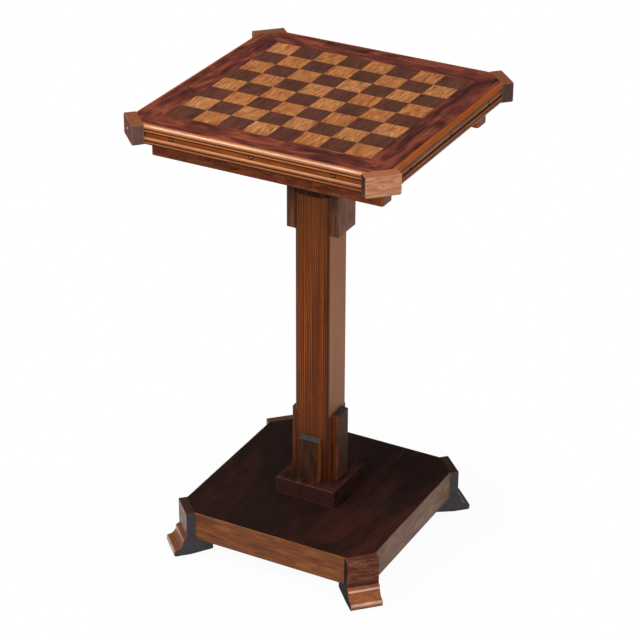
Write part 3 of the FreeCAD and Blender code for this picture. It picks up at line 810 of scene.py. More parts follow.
# Stained walnut, planed: even and dark with a purple cast
WALNUT = WoodFinish("stained_walnut", "3E2018", "5D3528", "784735", "5E3E33", "5A372C",
                    streak_mm=1.7, stretch=14, streak_share=0.55, worn_share=0.15,
                    worn_mm=0.8, roughness=0.55, gloss=0.12)
# Rosewood border: wine red under wax, with clouded dark patches
ROSEWOOD = WoodFinish("rosewood", "3E1A17", "703226", "A25436", "7A3E34", "5A2E26",
                      streak_share=0.45, cloud_mm=24, cloud_share=0.75, worn_share=0.2,
                      worn_mm=1.5, gloss=0.14)
# The right border board, cut from darker wood
DARK_ROSEWOOD = replace(ROSEWOOD, name="dark_rosewood", dark="381714", middle="642C22",
                        light="904632", worn="6A342A")
# Oiled teak moulding: warm orange that turns brown in the grooves
TEAK = WoodFinish("oiled_teak", "6E2E0C", "A04E1A", "C87834", "C07A48", "4A2A20",
                  streak_mm=1.8, stretch=30, streak_share=0.5, worn_share=0.0, gloss=0.06,
                  polish=0.1)
# The front moulding, which hands have polished: one bright line along its bead, from the wax and a
# painted highlight
POLISHED_TEAK = replace(TEAK, name="polished_teak", roughness=0.4, gloss=0.2, polish=0.8)
# The front right block, of the same teak: pinkish, as the sheen on its faces is painted in, with
# level stripes and dark end grain
PALE_BLOCK = WoodFinish("pale_teak", "AE6848", "DC936B", "F6B692", "D0906A", "3A2A22",
                        streak_mm=2.2, stretch=10, streak_share=0.6, cloud_mm=14,
                        cloud_share=0.35, worn_share=0.3, worn_mm=1.6, gloss=0.2)
# The blocks that smoke has darkened, with pale edges, rubbed and painted as highlights
DARK_BLOCK = replace(PALE_BLOCK, name="dark_teak", dark="4E2C20", middle="704433",
                     light="8E583E", end="7A544C", worn="A88A80", worn_share=0.5)
# The back right block, whose end grain is stained
STAINED_BLOCK = replace(DARK_BLOCK, name="stained_teak", end="5C4038")
# Mahogany column: orange-brown with fine upright lines
MAHOGANY = WoodFinish("mahogany", "421904", "7E3A0E", "B46026", "8A5530", "3A2A26",
                      streak_mm=2.6, stretch=120, streak_share=0.45, cloud_share=0.12,
                      ring_mm=2.7, ring_share=0.75, worn_share=0.15, gloss=0.22)
# The same mahogany, darker, on the upper cheeks, the core of the top and the glue blocks, with
# painted sheen in its blue-grey end grain
DARK_MAHOGANY = WoodFinish("dark_mahogany", "4A2A1E", "7A4832", "A66C50", "7A4A33", "38353A",
                           streak_mm=1.8, streak_share=0.6, cloud_share=0.35,
                           worn_share=0.3, gloss=0.3)
# Brackets, buttresses and lower cheeks: nearly black mahogany, darkened by smoke, with a painted
# sheen in its blue-grey end grain; on the upper brackets the near-black is painted shadow of the
# top
DARK_AND_SHADED_MAHOGANY = WoodFinish("smoked_mahogany", "2A1811", "46291D", "60392A", "5A3C2A",
                             "46444A", streak_mm=1.8, stretch=30, streak_share=0.5,
                             cloud_share=0.4, worn_share=0.3, gloss=0.1)
# Battens: red-brown mahogany with a soft mottle
BATTEN_WOOD = WoodFinish("batten_mahogany", "763218", "9E5030", "BE7248", "7A4A33", "845A4C",
                         streak_mm=2.4, stretch=8, cloud_mm=8, cloud_share=0.5,
                         worn_share=0.2, gloss=0.12)
# The back batten, with greener end grain
BACK_BATTEN_WOOD = replace(BATTEN_WOOD, name="back_batten_mahogany", end="82624E")
# Ebonised board: nearly black, with red where the stain has worn through
EBONISED = WoodFinish("ebonised_board", "1C1413", "291A17", "42211A", "3A2620", "241A19",
                      streak_mm=5.0, stretch=10, streak_share=0.16, cloud_mm=60,
                      cloud_share=0.5, worn_share=0.2, roughness=0.6, gloss=0.05)
# The plinth: the same board with its end grain to the front, where the rings show
PLINTH_WOOD = replace(EBONISED, name="plinth_wood", dark="24140F", middle="3C211B",
                      light="5E3024", end="361F1B", ring_share=0.2, ring_mm=3.4,
                      cloud_mm=22, streak_mm=3.0, worn="6A4A42", worn_share=0.35)
# Rails of the base: plain brown mahogany with a pale top edge, worn and painted as a highlight
RAIL_WOOD = WoodFinish("rail_mahogany", "5A2C0E", "7E4214", "9E5C24", "A87850", "3A363A",
                       streak_mm=2.4, stretch=20, streak_share=0.6, cloud_share=0.45,
                       worn_share=0.35, worn_mm=1.6, gloss=0.3)
# The right rail, grey-brown, as the grey sheen of the pale floor is painted into its colour
SHEEN_PAINTED_RAIL = replace(RAIL_WOOD, name="bleached_rail_mahogany", dark="523424", middle="704A35",
                    light="886248", worn="806048")
# Feet: the same wood, darker on the block, rubbed and painted with pale highlights on the ridges,
# with painted sheen in the blue-grey end grain
FOOT_WOOD = WoodFinish("foot_mahogany", "462419", "6C4030", "925C48", "A06A4A", "333034",
                       streak_mm=1.6, stretch=6, streak_share=0.35, cloud_mm=9,
                       cloud_share=0.6, worn_share=0.35, worn_mm=2.0, roughness=0.4, gloss=0.3)
# The front right foot, whose ends are nearly black
FRONT_FOOT = replace(FOOT_WOOD, name="front_foot_mahogany", end="1A1414", gloss=0.05,
                     roughness=0.6)

# Brass pins, lacquered: pale gold, with a soft glint
BRASS = MetalFinish("aged_brass", "F2DEBC", "C4A880", roughness=0.3, bareness=0.55)
# Brass nails, handled and dusty: duller and greyer than the pins
DULL_BRASS = MetalFinish("dull_nail_brass", "D8C6A4", "94805F", roughness=0.5, bareness=0.35)
# Bright steel screws: grey, with darker patches
STEEL = MetalFinish("screw_steel", "9A9690", "5E5A54", roughness=0.4)


# Shapes

def placed(name: str, data: bpy.types.ID) -> bpy.types.Object:
    """Put a mesh, lamp or camera into the scene.

    Args:
        name: the new object's name.
        data: what it holds.

    Returns:
        The object, at the origin.
    """
    thing = bpy.data.objects.new(name, data)
    bpy.context.scene.collection.objects.link(thing)
    return thing


def drawn(name: str, shape: bmesh.types.BMesh) -> bpy.types.Mesh:
    """Turn a finished shape into a mesh and free it.

    Args:
        name: the mesh's name.
        shape: the shape in metres.

    Returns:
        The mesh.
    """
    mesh = bpy.data.meshes.new(name)
    shape.to_mesh(mesh)
    shape.free()
    return mesh


def settled(name: str, carrier: bpy.types.Object) -> bpy.types.Object:
    """Keep what an object's modifiers make as a plain mesh, and remove the object.

    Args:
        name: the new piece's name.
        carrier: the object with its modifiers.

    Returns:
        An object at the origin, with no modifier left on it.
    """
    graph = bpy.context.evaluated_depsgraph_get()
    mesh = bpy.data.meshes.new_from_object(carrier.evaluated_get(graph))
    mesh.name = name
    bpy.data.objects.remove(carrier)
    return placed(name, mesh)


def rounded(name: str, mesh: bpy.types.Mesh, ease_mm: float) -> bpy.types.Object:
    """Round the sharp edges of a mesh and even out its shading.

    Args:
        name: the new piece's name.
        mesh: the shape in metres, with its place in it.
        ease_mm: the width of the rounding.

    Returns:
        An object at the origin with a plain mesh.
    """
    rough = placed(f"{name}_rough", mesh)
    rounding = rough.modifiers.new("rounding", "BEVEL")
    rounding.width = ease_mm * MM
    rounding.segments = 2
    rounding.limit_method = "ANGLE"
    rounding.angle_limit = math.radians(SHARP_DEGREES)
    rounding.use_clamp_overlap = True
    rough.modifiers.new("shading", "WEIGHTED_NORMAL").keep_sharp = True
    return settled(name, rough)


def grown(name: str, tree: bpy.types.NodeTree, values: dict[str, object]) -> bpy.types.Object:
    """Run a geometry tree once and keep its result.

    Args:
        name: the new piece's name.
        tree: the geometry tree.
        values: input name to value.

    Returns:
        An object at the origin with a plain mesh.
    """
    carrier = placed(f"{name}_carrier", bpy.data.meshes.new(f"{name}_carrier"))
    modifier = carrier.modifiers.new(name, "NODES")
    modifier.node_group = tree
    for item in tree.interface.items_tree:
        if item.in_out == "INPUT" and item.name in values:
            modifier[item.identifier] = values[item.name]
    return settled(name, carrier)


def lathe(name: str, outline: list[tuple[float, float]], tilt: Matrix,
          steps: int = 20) -> bpy.types.Object:
    """Turn a profile about its own axis into a closed mesh.

    Args:
        name: the object's name.
        outline: radius and height pairs in millimetres, from one end of the axis to the other.
        tilt: a rotation that lays the axis in its place.
        steps: how many facets go round.

    Returns:
        A helper object, to be copied by a tree and then removed.
    """
    shape = bmesh.new()
    rings = []
    for radius, height in outline:
        angles = [math.tau * step / steps for step in range(steps if radius else 1)]
        rings.append([shape.verts.new((radius * MM * math.cos(angle),
                                       radius * MM * math.sin(angle), height * MM))
                      for angle in angles])
    for lower, upper in zip(rings, rings[1:]):
        for step in range(steps):
            following = (step + 1) % steps
            corners = [lower[step % len(lower)], lower[following % len(lower)],
                       upper[following % len(upper)], upper[step % len(upper)]]
            shape.faces.new(list(dict.fromkeys(corners))).smooth = True
    bmesh.ops.recalc_face_normals(shape, faces=shape.faces)
    shape.transform(tilt)
    return placed(name, drawn(name, shape))


def own_box(node: str, turn: float) -> tuple[Vector, Vector]:
    """Measure a CAD node in its own directions.

    Args:
        node: the node's name.
        turn: how far it is turned about the column, in degrees.

    Returns:
        Its lowest and highest corners in metres.
    """
    spin = Matrix.Rotation(-math.radians(turn), 4, "Z")
    points = [spin @ vertex.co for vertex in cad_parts[node].data.vertices]
    low, high = (Vector([end(point[axis] for point in points) for axis in range(3)])
                 for end in (min, max))
    return low, high


def paint(thing: bpy.types.Object, material: bpy.types.Material) -> None:
    """Give an object one material, and report it.

    Args:
        thing: the object.
        material: what it is finished with.
    """
    thing.data.materials.clear()
    thing.data.materials.append(material)
    LOG.info("%s is finished in %s", thing.name, material.name)


def stand_in(piece: bpy.types.Object, node: str) -> None:
    """Let a piece ride on the table in place of a CAD node, and report it.

    Args:
        piece: the finished piece.
        node: the node that it replaces.
    """
    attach(piece, ROOT)
    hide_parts(node)
    LOG.info("%s stands for %s, with %d faces", piece.name, node, len(piece.data.polygons))


def close_tree(wiring: Wiring, geometry: Source, finish: Source) -> bpy.types.NodeTree:
    """End a geometry tree in real meshes with one material.

    Args:
        wiring: the tree's wiring.
        geometry: the instances.
        finish: the material.

    Returns:
        The finished tree.
    """
    real = wiring.add("GeometryNodeRealizeInstances", geometry)
    dressed = wiring.add("GeometryNodeSetMaterial", {"Geometry": real, "Material": finish})
    wiring.add("NodeGroupOutput", dressed)
    return wiring.tree


def board_tree() -> bpy.types.NodeTree:
    """Build the tree that lays every second tile of a square board.

    Returns:
        A tree with the tiles in a count, pitch and parity given as inputs.
    """
    wiring = new_group("inlaid_tiles", "GeometryNodeTree", {
        "Count": "Int", "Pitch": "Float", "Parity": "Int", "Height": "Float",
        "Tile": "Object", "Seed": "Int", "Finish": "Material"}, {"Geometry": "Geometry"})
    add = wiring.add
    given = add("NodeGroupInput").outputs
    span = add(Step.MULTIPLY, given["Pitch"], add(Step.SUBTRACT, given["Count"], 1.0))
    grid = add("GeometryNodeMeshGrid", {
        "Size X": span, "Size Y": span, "Vertices X": given["Count"],
        "Vertices Y": given["Count"]})
    index = add("GeometryNodeInputIndex")
    column = add("ShaderNodeMath", add(Step.DIVIDE, add(Step.ADD, index, 0.5), given["Count"]),
                 operation="FLOOR")
    row = add(Step.MODULO, index, given["Count"])
    odd = add(Step.MODULO, add(Step.ADD, column, row), 2.0)
    chosen = add("FunctionNodeCompare", {0: odd, 1: given["Parity"], "Epsilon": 0.1},
                 data_type="FLOAT", operation="EQUAL")
    lift = add(Step.JOIN, {"Z": given["Height"]})
    grid = add("GeometryNodeSetPosition", {"Geometry": grid, "Offset": lift})
    tile = add("GeometryNodeObjectInfo", {"Object": given["Tile"], "As Instance": True})
    tiles = add(Step.REPEAT, {"Points": grid, "Selection": chosen,
                              "Instance": tile.outputs["Geometry"]})
    chance = add(Step.CHANCE, {"Seed": given["Seed"]}).outputs["Value"]
    tiles = add("GeometryNodeStoreNamedAttribute",
                {"Geometry": tiles, "Name": "tile_cut", "Value": chance},
                data_type="FLOAT", domain="INSTANCE")
    return close_tree(wiring, tiles, given["Finish"])


def fixing_tree() -> bpy.types.NodeTree:
    """Build the tree that sets a row of fixings and repeats it about the column.

    Returns:
        A tree with the row's ends, its count and the number of rows as inputs.
    """
    wiring = new_group("fixing_rows", "GeometryNodeTree", {
        "Fixing": "Object", "Count": "Int", "Start": "Vector", "Step": "Vector",
        "Rows": "Int", "Spin Axis": "Vector", "Seed": "Int", "Finish": "Material"},
        {"Geometry": "Geometry"})
    add = wiring.add
    given = add("NodeGroupInput").outputs
    line = add("GeometryNodeMeshLine", {
        "Count": given["Count"], "Start Location": given["Start"], "Offset": given["Step"]},
        mode="OFFSET")
    fixing = add("GeometryNodeObjectInfo", {"Object": given["Fixing"], "As Instance": True})
    chance = add(Step.CHANCE, {"Max": math.tau, "Seed": given["Seed"]}).outputs["Value"]
    spin = add(Step.ANGLE, {"Axis": given["Spin Axis"], "Angle": chance})
    row = add(Step.REPEAT, {"Points": line, "Instance": fixing.outputs["Geometry"],
                            "Rotation": spin})
    hubs = add("GeometryNodePoints", {"Count": given["Rows"]})
    share = add(Step.DIVIDE, math.tau, given["Rows"])
    angle = add(Step.MULTIPLY, add("GeometryNodeInputIndex"), share)
    turn = add(Step.ANGLE, {"Axis": (0, 0, 1), "Angle": angle})
    rows = add(Step.REPEAT, {"Points": hubs, "Instance": row, "Rotation": turn})
    return close_tree(wiring, rows, given["Finish"])


@dataclass(frozen=True)
class Piece:
    """One wooden piece that keeps the shape of its CAD node.

    ease_mm is how far the tools left its corners rounded; zero keeps the node itself.
    """

    node: str
    finish: WoodFinish
    grain: Grain
    turn: float = 0.0
    ease_mm: float = 0.5
    marks: tuple[Mark, ...] = ()
    polished: Band | None = None

    def corners_mm(self) -> tuple[Vector, Vector]:
        """Return the corners of the piece in its own directions, in millimetres."""
        low, high = own_box(self.node, self.turn)
        return low / MM, high / MM

    def marked(self, *marks: Mark, polished: Band | None = None) -> None:
        """Dress the piece with marks that follow from its own size.

        Args:
            marks: what is laid over the figure, from the lowest up.
            polished: where the polish has stayed.
        """
        replace(self, marks=marks, polished=polished).dress()

    def dress(self) -> None:
        """Give the piece its finish, and its eased shape where it has one."""
        material = self.finish.make(self.node, own_box(self.node, self.turn), self.grain,
                                    self.turn, self.marks, self.polished)
        piece = self.eased() if self.ease_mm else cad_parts[self.node]
        paint(piece, material)
        if self.ease_mm:
            stand_in(piece, self.node)

    def eased(self) -> bpy.types.Object:
        """Copy the node's solid and round its sharp corners over.

        Returns:
            The new piece.
        """
        shape = bmesh.new()
        shape.from_mesh(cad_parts[self.node].data)
        bmesh.ops.remove_doubles(shape, verts=shape.verts, dist=WELD_MM * MM)
        bmesh.ops.dissolve_limit(shape, angle_limit=math.radians(FLAT_DEGREES),
                                 verts=shape.verts, edges=shape.edges)
        for face in shape.faces:
            face.smooth = True
        name = f"{self.node}_eased"
        return rounded(name, drawn(f"{name}_rough", shape), self.ease_mm)


# The table

@dataclass
class InlaidTop:
    """The board of tiles, its border, core, mouldings, corner blocks and battens.

    Layers, grooves and stops are given as depths under a top or behind a face.
    """

    squares: int = 8
    pitch_mm: float = 40.0
    joint_mm: float = 0.2
    tile_mm: float = 6.0
    tile_ease_mm: float = 0.25
    seed: int = 5
    border_ease_mm: float = 0.2
    moulding_ease_mm: float = 0.1
    block_ease_mm: float = 1.2
    batten_ease_mm: float = 1.0
    nail_stain_mm: float = 4.2
    pin_stain_mm: float = 3.2
    # Front: painted highlights on the crests of the beads, and dirt with painted shade in the
    # quirks
    front_layers: tuple[tuple[float, Tone, float], ...] = (
        (0.0, Tone.CREST, 0.6), (3.2, Tone.CREST, 0.9), (4.8, Tone.WARM, 0.85),
        (6.0, Tone.BROWN, 0.9), (6.8, Tone.DIRT, 1.0), (8.0, Tone.DIRT, 1.0),
        (8.5, Tone.WARM, 0.9), (9.3, Tone.CREST, 0.9), (10.3, Tone.WARM, 0.85),
        (11.2, Tone.DIRT, 0.8), (12.5, Tone.DIRT, 0.4), (15.0, Tone.BROWN, 0.3),
        (17.8, Tone.BROWN, 0.3), (19.0, Tone.WARM, 0.9), (20.4, Tone.CREST, 0.8),
        (21.6, Tone.WARM, 0.9), (22.8, Tone.BROWN, 0.9), (23.8, Tone.DIRT, 0.95),
        (24.9, Tone.DIRT, 0.95), (25.6, Tone.BROWN, 0.8), (26.6, Tone.WARM, 0.4),
        (28.0, Tone.BROWN, 0.8), (29.0, Tone.DIRT, 0.9), (30.0, Tone.DIRT, 0.9))
    # Sides: the orange bead, painted sheen of the pale floor on the flats, and painted shade in the
    # grooves
    side_layers: tuple[tuple[float, Tone, float], ...] = (
        (0.0, Tone.GOLDEN, 0.6), (0.6, Tone.GOLDEN, 0.8), (1.4, Tone.GOLDEN, 0.9),
        (5.5, Tone.GOLDEN, 0.9), (6.8, Tone.TAN, 0.7), (7.3, Tone.SOOT, 0.9),
        (8.9, Tone.SOOT, 0.9), (9.6, Tone.TAN, 0.9), (11.0, Tone.TAN, 1.0),
        (11.6, Tone.SOOT, 0.65), (12.7, Tone.SOOT, 0.65), (13.6, Tone.TAN, 0.9),
        (16.6, Tone.TAN, 0.9), (17.3, Tone.SOOT, 0.85), (19.4, Tone.SOOT, 0.85),
        (20.4, Tone.UMBER, 0.9), (23.8, Tone.TAN, 0.9), (24.6, Tone.SOOT, 0.9),
        (25.6, Tone.SOOT, 0.9), (26.4, Tone.TAN, 0.8), (30.0, Tone.TAN, 0.8))
    grooves: Stops = ((8.1, 0.6), (11.5, 0.6), (18.3, 0.45), (24.7, 0.9), (29.4, 0.4))
    groove_fade_mm: float = 0.5
    rubbed: Stops = ((24.5, 0.0), (23.0, 0.3), (19.5, 0.3), (18.5, 0.0), (7.4, 0.0),
                     (6.0, 1.0), (0.0, 1.0))
    # The top painted apart from the faces, for the different light that falls on it
    block_top: Stops = ((1.2, 0.0), (0.3, 0.85))
    batten_patch: Stops = ((9.0, 0.0), (5.0, 0.6), (2.0, 0.6), (0.5, 0.0))
    tree: bpy.types.NodeTree = field(default_factory=board_tree)

    def tile(self) -> bpy.types.Object:
        """Build one tile with eased edges, centred under its top face.

        Returns:
            A helper object, to be copied by the tree and then removed.
        """
        shape = bmesh.new()
        bmesh.ops.create_cube(shape, size=1)
        side = (self.pitch_mm - self.joint_mm) * MM
        shape.transform(Matrix.Diagonal((side, side, self.tile_mm * MM, 1)))
        middle = -self.tile_mm * MM / 2
        shape.transform(Matrix.Translation((0, 0, middle)))
        upper = [edge for edge in shape.edges if all(v.co.z > middle for v in edge.verts)]
        bmesh.ops.bevel(shape, geom=upper, offset=self.tile_ease_mm * MM, segments=2,
                        profile=0.5, affect="EDGES")
        return placed("tile", drawn("tile", shape))

    def lay_squares(self) -> None:
        """Lay the light and the dark tiles, each with a cut of its own."""
        helper = self.tile()
        for node, parity, finish in (("dark_squares", 0, WALNUT), ("light_squares", 1, SATINWOOD)):
            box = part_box(node)
            material = finish.make(node, box, Grain.ALONG_Y, tile_attribute="tile_cut")
            stand_in(grown(f"{node}_inlay", self.tree, {
                "Count": self.squares, "Pitch": self.pitch_mm * MM, "Parity": parity,
                "Height": box[1].z, "Tile": helper, "Seed": self.seed + parity,
                "Finish": material}), node)
        bpy.data.objects.remove(helper)

    def grime(self, top_mm: float) -> Band:
        """Find the dull dirt in the quirks of a moulding, which also stands for painted shade
        there.

        Args:
            top_mm: the height of the moulding's top.

        Returns:
            A band that is whole in each groove.
        """
        stops = [(0.0, 0.0)]
        for depth, half in self.grooves:
            outer = half + self.groove_fade_mm
            stops += [(depth - outer, 0.0), (depth - half, 1.0), (depth + half, 1.0),
                      (depth + outer, 0.0)]
        return Band(2, tuple(sorted(below(top_mm, stops))), "301408", 0.5, dull=True)

    def edge(self, side: Side) -> None:
        """Dress the border board and the moulding of one side.

        Args:
            side: the side that they close.
        """
        top_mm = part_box("edge_moulding_front")[1].z / MM
        nail_mm = sum(corner.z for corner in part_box("moulding_nails")) / 2 / MM
        finish, layers = TEAK, Layers(top_mm, self.side_layers, 0.5)
        if side is Side.FRONT:
            finish, layers = POLISHED_TEAK, Layers(top_mm, self.front_layers, 0.3)
        Piece(f"top_border_{side}", DARK_ROSEWOOD if side is Side.RIGHT else ROSEWOOD,
              Grain.ALONG_Y, side.value, self.border_ease_mm).dress()
        moulding = Piece(f"edge_moulding_{side}", finish, Grain.ALONG_Y, side.value,
                         self.moulding_ease_mm)
        moulding.marked(self.grime(top_mm), layers,
                        Stain(nail_mm, NAIL_PITCH_MM, self.nail_stain_mm),
                        polished=Band(2, below(top_mm, self.rubbed), "FFFFFF", 0.5))

    def block(self, corner: Corner) -> None:
        """Dress one corner block, with its redder top, painted apart from its faces for the
        different light on it, and the stain round its one pin.

        Args:
            corner: the corner that it closes.
        """
        pin_mm = sum(point.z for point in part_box("corner_pins")) / 2 / MM
        finish, top = DARK_BLOCK, "90522F"
        if corner is Corner.FRONT_RIGHT:
            finish, top = PALE_BLOCK, "96552F"
        if corner is Corner.BACK_RIGHT:
            finish = STAINED_BLOCK
        block = Piece(f"corner_block_{corner}", finish, Grain.ALONG_Y, corner.value,
                      self.block_ease_mm)
        low, high = block.corners_mm()
        block.marked(Band(2, below(high.z, self.block_top), top, 0.3),
                     Stain(pin_mm, high.y - low.y, self.pin_stain_mm, "5A3020"))

    def battens(self) -> None:
        """Dress the battens, the front one with a pale patch near its right end."""
        front = Piece("batten_front", BATTEN_WOOD, Grain.ALONG_Y, Side.FRONT.value,
                      self.batten_ease_mm)
        end = front.corners_mm()[1].y
        front.marked(Band(1, below(end, self.batten_patch), "A8643C", 0.6))
        Piece("batten_back", BACK_BATTEN_WOOD, Grain.ALONG_Y, Side.BACK.value,
              self.batten_ease_mm).dress()

    def build(self) -> None:
        """Dress every piece of the top."""
        self.lay_squares()
        Piece("top_core", DARK_MAHOGANY, Grain.ALONG_X, ease_mm=0).dress()
        for side in Side:
            self.edge(side)
        for corner in Corner:
            self.block(corner)
        self.battens()


@dataclass
class Pillar:
    """The column with its cheeks, brackets and buttresses, and the plinth under it.

    Stops are given as depths behind a face, and those of the darkening towards the foot as heights.
    """

    ease_mm: float = 0.6
    plinth_ease_mm: float = 1.0
    arris_mm: float = 2.4
    # Painted light on the column's right face, between the lower cheeks and the cleat
    bleached: Stops = ((1.2, 0.0), (0.4, 0.8))
    worn: Stops = ((1.6, 0.0), (0.6, 0.85))
    # Painted shadow, with some dirt, under the cleat: on the column, and wider on the upper cheeks
    sooty: Stops = ((1.0, 0.0), (0.0, 0.85))
    sooty_cheek: Stops = ((4.0, 0.0), (-4.0, 0.6))
    # Painted light, growing towards the top of the column
    faded: Stops = ((170.0, 0.0), (30.0, 0.5))
    # Darker towards the foot of the column
    smoked: Stops = ((120.0, 0.8), (200.0, 0.5), (330.0, 0.0))
    # Painted light: the front faces of the lower cheeks lighter, as lit, over their near-black
    planed: Stops = ((0.0, 0.9), (-0.75, 0.9), (-1.5, 0.0))
    # Painted light on the side faces of the lower buttresses
    flank: Stops = ((0.6, 0.0), (0.2, 0.85))
    shaded: Stops = ((1.2, 0.0), (0.3, 0.5))

    def column(self, shadow_and_dirt_under_top: Band) -> None:
        """Dress the column, with painted light on its right face and towards its top, darker
        towards its foot, and painted shadow under the cleat.

        Args:
            shadow_and_dirt_under_top: the painted shadow, with some dirt, under the top.
        """
        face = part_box("column")[1].x / MM
        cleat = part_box("upper_bracket_front")[0].z / MM
        between = ((2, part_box("lower_cheek_right")[1].z / MM, cleat),)
        Piece("column", MAHOGANY, Grain.ALONG_Z, 0, self.ease_mm).marked(
            Band(0, below(face, self.bleached), "AC7450", 0.3, limits=between),
            Band(2, below(cleat, self.faded), "B06430", 0.5),
            Band(2, self.smoked, "36160A", 0.9),
            Band(3, below(face * 2 - self.arris_mm, self.worn), "34180C", 0.5), shadow_and_dirt_under_top)

    def build(self) -> None:
        """Dress every piece of the pillar."""
        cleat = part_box("upper_bracket_front")[0].z / MM
        # Painted shadow, with some dirt, under the cleat
        shadow_and_dirt_under_top = Band(2, below(cleat, self.sooty), "2A1A16")
        self.column(shadow_and_dirt_under_top)
        for side in (Side.LEFT, Side.RIGHT):
            Piece(f"upper_cheek_{side}", DARK_MAHOGANY, Grain.ALONG_Z, 0, self.ease_mm).marked(
                replace(shadow_and_dirt_under_top, stops=below(cleat, self.sooty_cheek)))
            cheek = Piece(f"lower_cheek_{side}", DARK_AND_SHADED_MAHOGANY, Grain.ALONG_Z, 0, self.ease_mm)
            front = cheek.corners_mm()[0].y
            # Front face painted lighter, as lit
            cheek.marked(Band(1, below(front, self.planed), "8A441E", 0.8))
        side_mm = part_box("lower_buttress_front")[1].x / MM
        # Painted light on the buttresses' sides
        flank = Band(0, below(side_mm, self.flank), "8A4A22", 0.4)
        for side in (Side.FRONT, Side.BACK):
            # The near-black upper brackets are painted shadow under the top
            Piece(f"upper_bracket_{side}", DARK_AND_SHADED_MAHOGANY, Grain.ALONG_Z, 0,
                  self.ease_mm).dress()
            Piece(f"lower_buttress_{side}", DARK_AND_SHADED_MAHOGANY, Grain.ALONG_Z, 0,
                  self.ease_mm).marked(flank)
        low, high = (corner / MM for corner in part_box("plinth"))
        Piece("plinth", PLINTH_WOOD, Grain.ALONG_Y, 0, self.plinth_ease_mm).marked(
            Hatch(low.y), Band(0, below(high.x, self.shaded), "140C0A"))


@dataclass(frozen=True)
class FootWear:
    """How one foot has aged.

    toe is the colour of its toe, soiled the share of dirt on its top, and rubbed how strong the
    pale highlights painted on its ridge and lip are.
    """

    toe: str
    soiled: float
    rubbed: float


@dataclass
class Base:
    """The box base: panel, rails, glue blocks and feet.

    Stops are places in millimetres: those of the toe are behind the face of the block, those of
    the rails and a foot's top behind the rail's foot and top, and the others from the middle or
    the floor. Where only places are given, the shares go with the piece.
    """

    ease_mm: float = 0.5
    # Red streaks, with painted light, on the right half of the panel
    reddened: Stops = ((20.0, 0.0), (70.0, 0.3), (180.0, 0.3))
    rail_dirt: Stops = ((0.0, 0.8), (-1.2, 0.6), (-2.6, 0.0))
    rail_cap_mm: tuple[float, float] = (1.4, 0.5)
    rail_cap_share: float = 0.9
    end_mm: float = 0.4
    toe_reach_mm: float = 20.5
    toe_start_mm: float = 1.0
    past_tip_mm: float = 1.0
    lip_reach_mm: float = 2.4
    toe: Stops = ((-0.3, 0.0), (-1.5, 0.85), (-20.5, 0.85))
    polished: Stops = ((1.8, 0.0), (3.0, 0.15), (6.6, 0.2), (7.8, 0.9), (10.4, 0.9),
                       (11.4, 0.0), (21.6, 0.0), (22.6, 1.0), (25.0, 1.0), (26.0, 0.0))
    # Where pale highlights are painted on the ridge and the lip, as heights
    ridge_mm: tuple[float, ...] = (21.6, 22.6, 25.0, 26.0)
    lip_mm: tuple[float, ...] = (6.2, 7.4, 10.8, 11.6)
    foot_top_mm: tuple[float, float] = (1.2, 0.3)
    # A darker band on the block, just above the toe
    sooty: Stops = ((29.2, 0.0), (30.2, 0.75), (33.0, 0.5), (37.0, 0.0))
    soiled: Stops = ((0.0, 0.9), (2.0, 0.6), (5.0, 0.0))
    wear: dict[Corner, FootWear] = field(default_factory=lambda: {
        Corner.BACK_RIGHT: FootWear("34211B", soiled=0.9, rubbed=0.0),
        Corner.BACK_LEFT: FootWear("8A5236", soiled=0.5, rubbed=0.0),
        Corner.FRONT_LEFT: FootWear("82481F", soiled=0.85, rubbed=0.3),
        Corner.FRONT_RIGHT: FootWear("A8643C", soiled=0.3, rubbed=0.8)})

    def rail(self, side: Side) -> None:
        """Dress one rail, darker along its foot, and on the far rails along the top edge.

        Args:
            side: the side that it closes.
        """
        finish = SHEEN_PAINTED_RAIL if side is Side.RIGHT else RAIL_WOOD
        rail = Piece(f"base_rail_{side}", finish, Grain.ALONG_Y, side.value, self.ease_mm)
        low, high = rail.corners_mm()
        capped = self.rail_cap_share if side in (Side.LEFT, Side.BACK) else 0.0
        cap = below(high.z, zip(self.rail_cap_mm, (0.0, capped)))
        rail.marked(Band(2, below(low.z, self.rail_dirt) + cap, "2A1812"))

    def foot(self, corner: Corner) -> None:
        """Dress one foot, whose toe is rubbed, whose ridges are polished, and whose ridge and lip
        get painted pale highlights.

        Args:
            corner: the corner that it carries.
        """
        wear = self.wear[corner]
        finish = FRONT_FOOT if corner is Corner.FRONT_RIGHT else FOOT_WOOD
        foot = Piece(f"foot_{corner}", finish, Grain.ALONG_Y, corner.value, self.ease_mm)
        low, high = foot.corners_mm()
        face = high.x - self.toe_reach_mm
        past = high.x + self.past_tip_mm
        along = (1, low.y + self.end_mm, high.y - self.end_mm)
        polished = Band(2, self.polished, "E8B8A0", 0.4,
                        limits=(along, (0, face + self.toe_start_mm, past)))
        shares = (0.0, wear.rubbed, wear.rubbed, 0.0)
        foot.marked(
            Band(0, below(face, self.toe), wear.toe, 0.35, limits=(along,)),
            # Painted highlights on the ridge and the lip
            replace(polished, stops=tuple(zip(self.ridge_mm, shares))),
            replace(polished, stops=tuple(zip(self.lip_mm, shares)),
                    limits=(along, (0, high.x - self.lip_reach_mm, past))),
            Band(2, self.sooty, "1E1414", 0.4),
            Band(2, self.soiled, "15100E"),
            Band(2, below(high.z, zip(self.foot_top_mm, (0.0, wear.soiled))), "2A1610", 0.2),
            polished=polished)

    def build(self) -> None:
        """Dress every piece of the base."""
        Piece("base_panel", EBONISED, Grain.ALONG_Y, ease_mm=0).marked(
            Band(0, self.reddened, "50281E", 0.85))
        for side in Side:
            self.rail(side)
        for corner in Corner:
            self.foot(corner)
            Piece(f"glue_block_{corner}", DARK_MAHOGANY, Grain.ALONG_Z, ease_mm=0).dress()


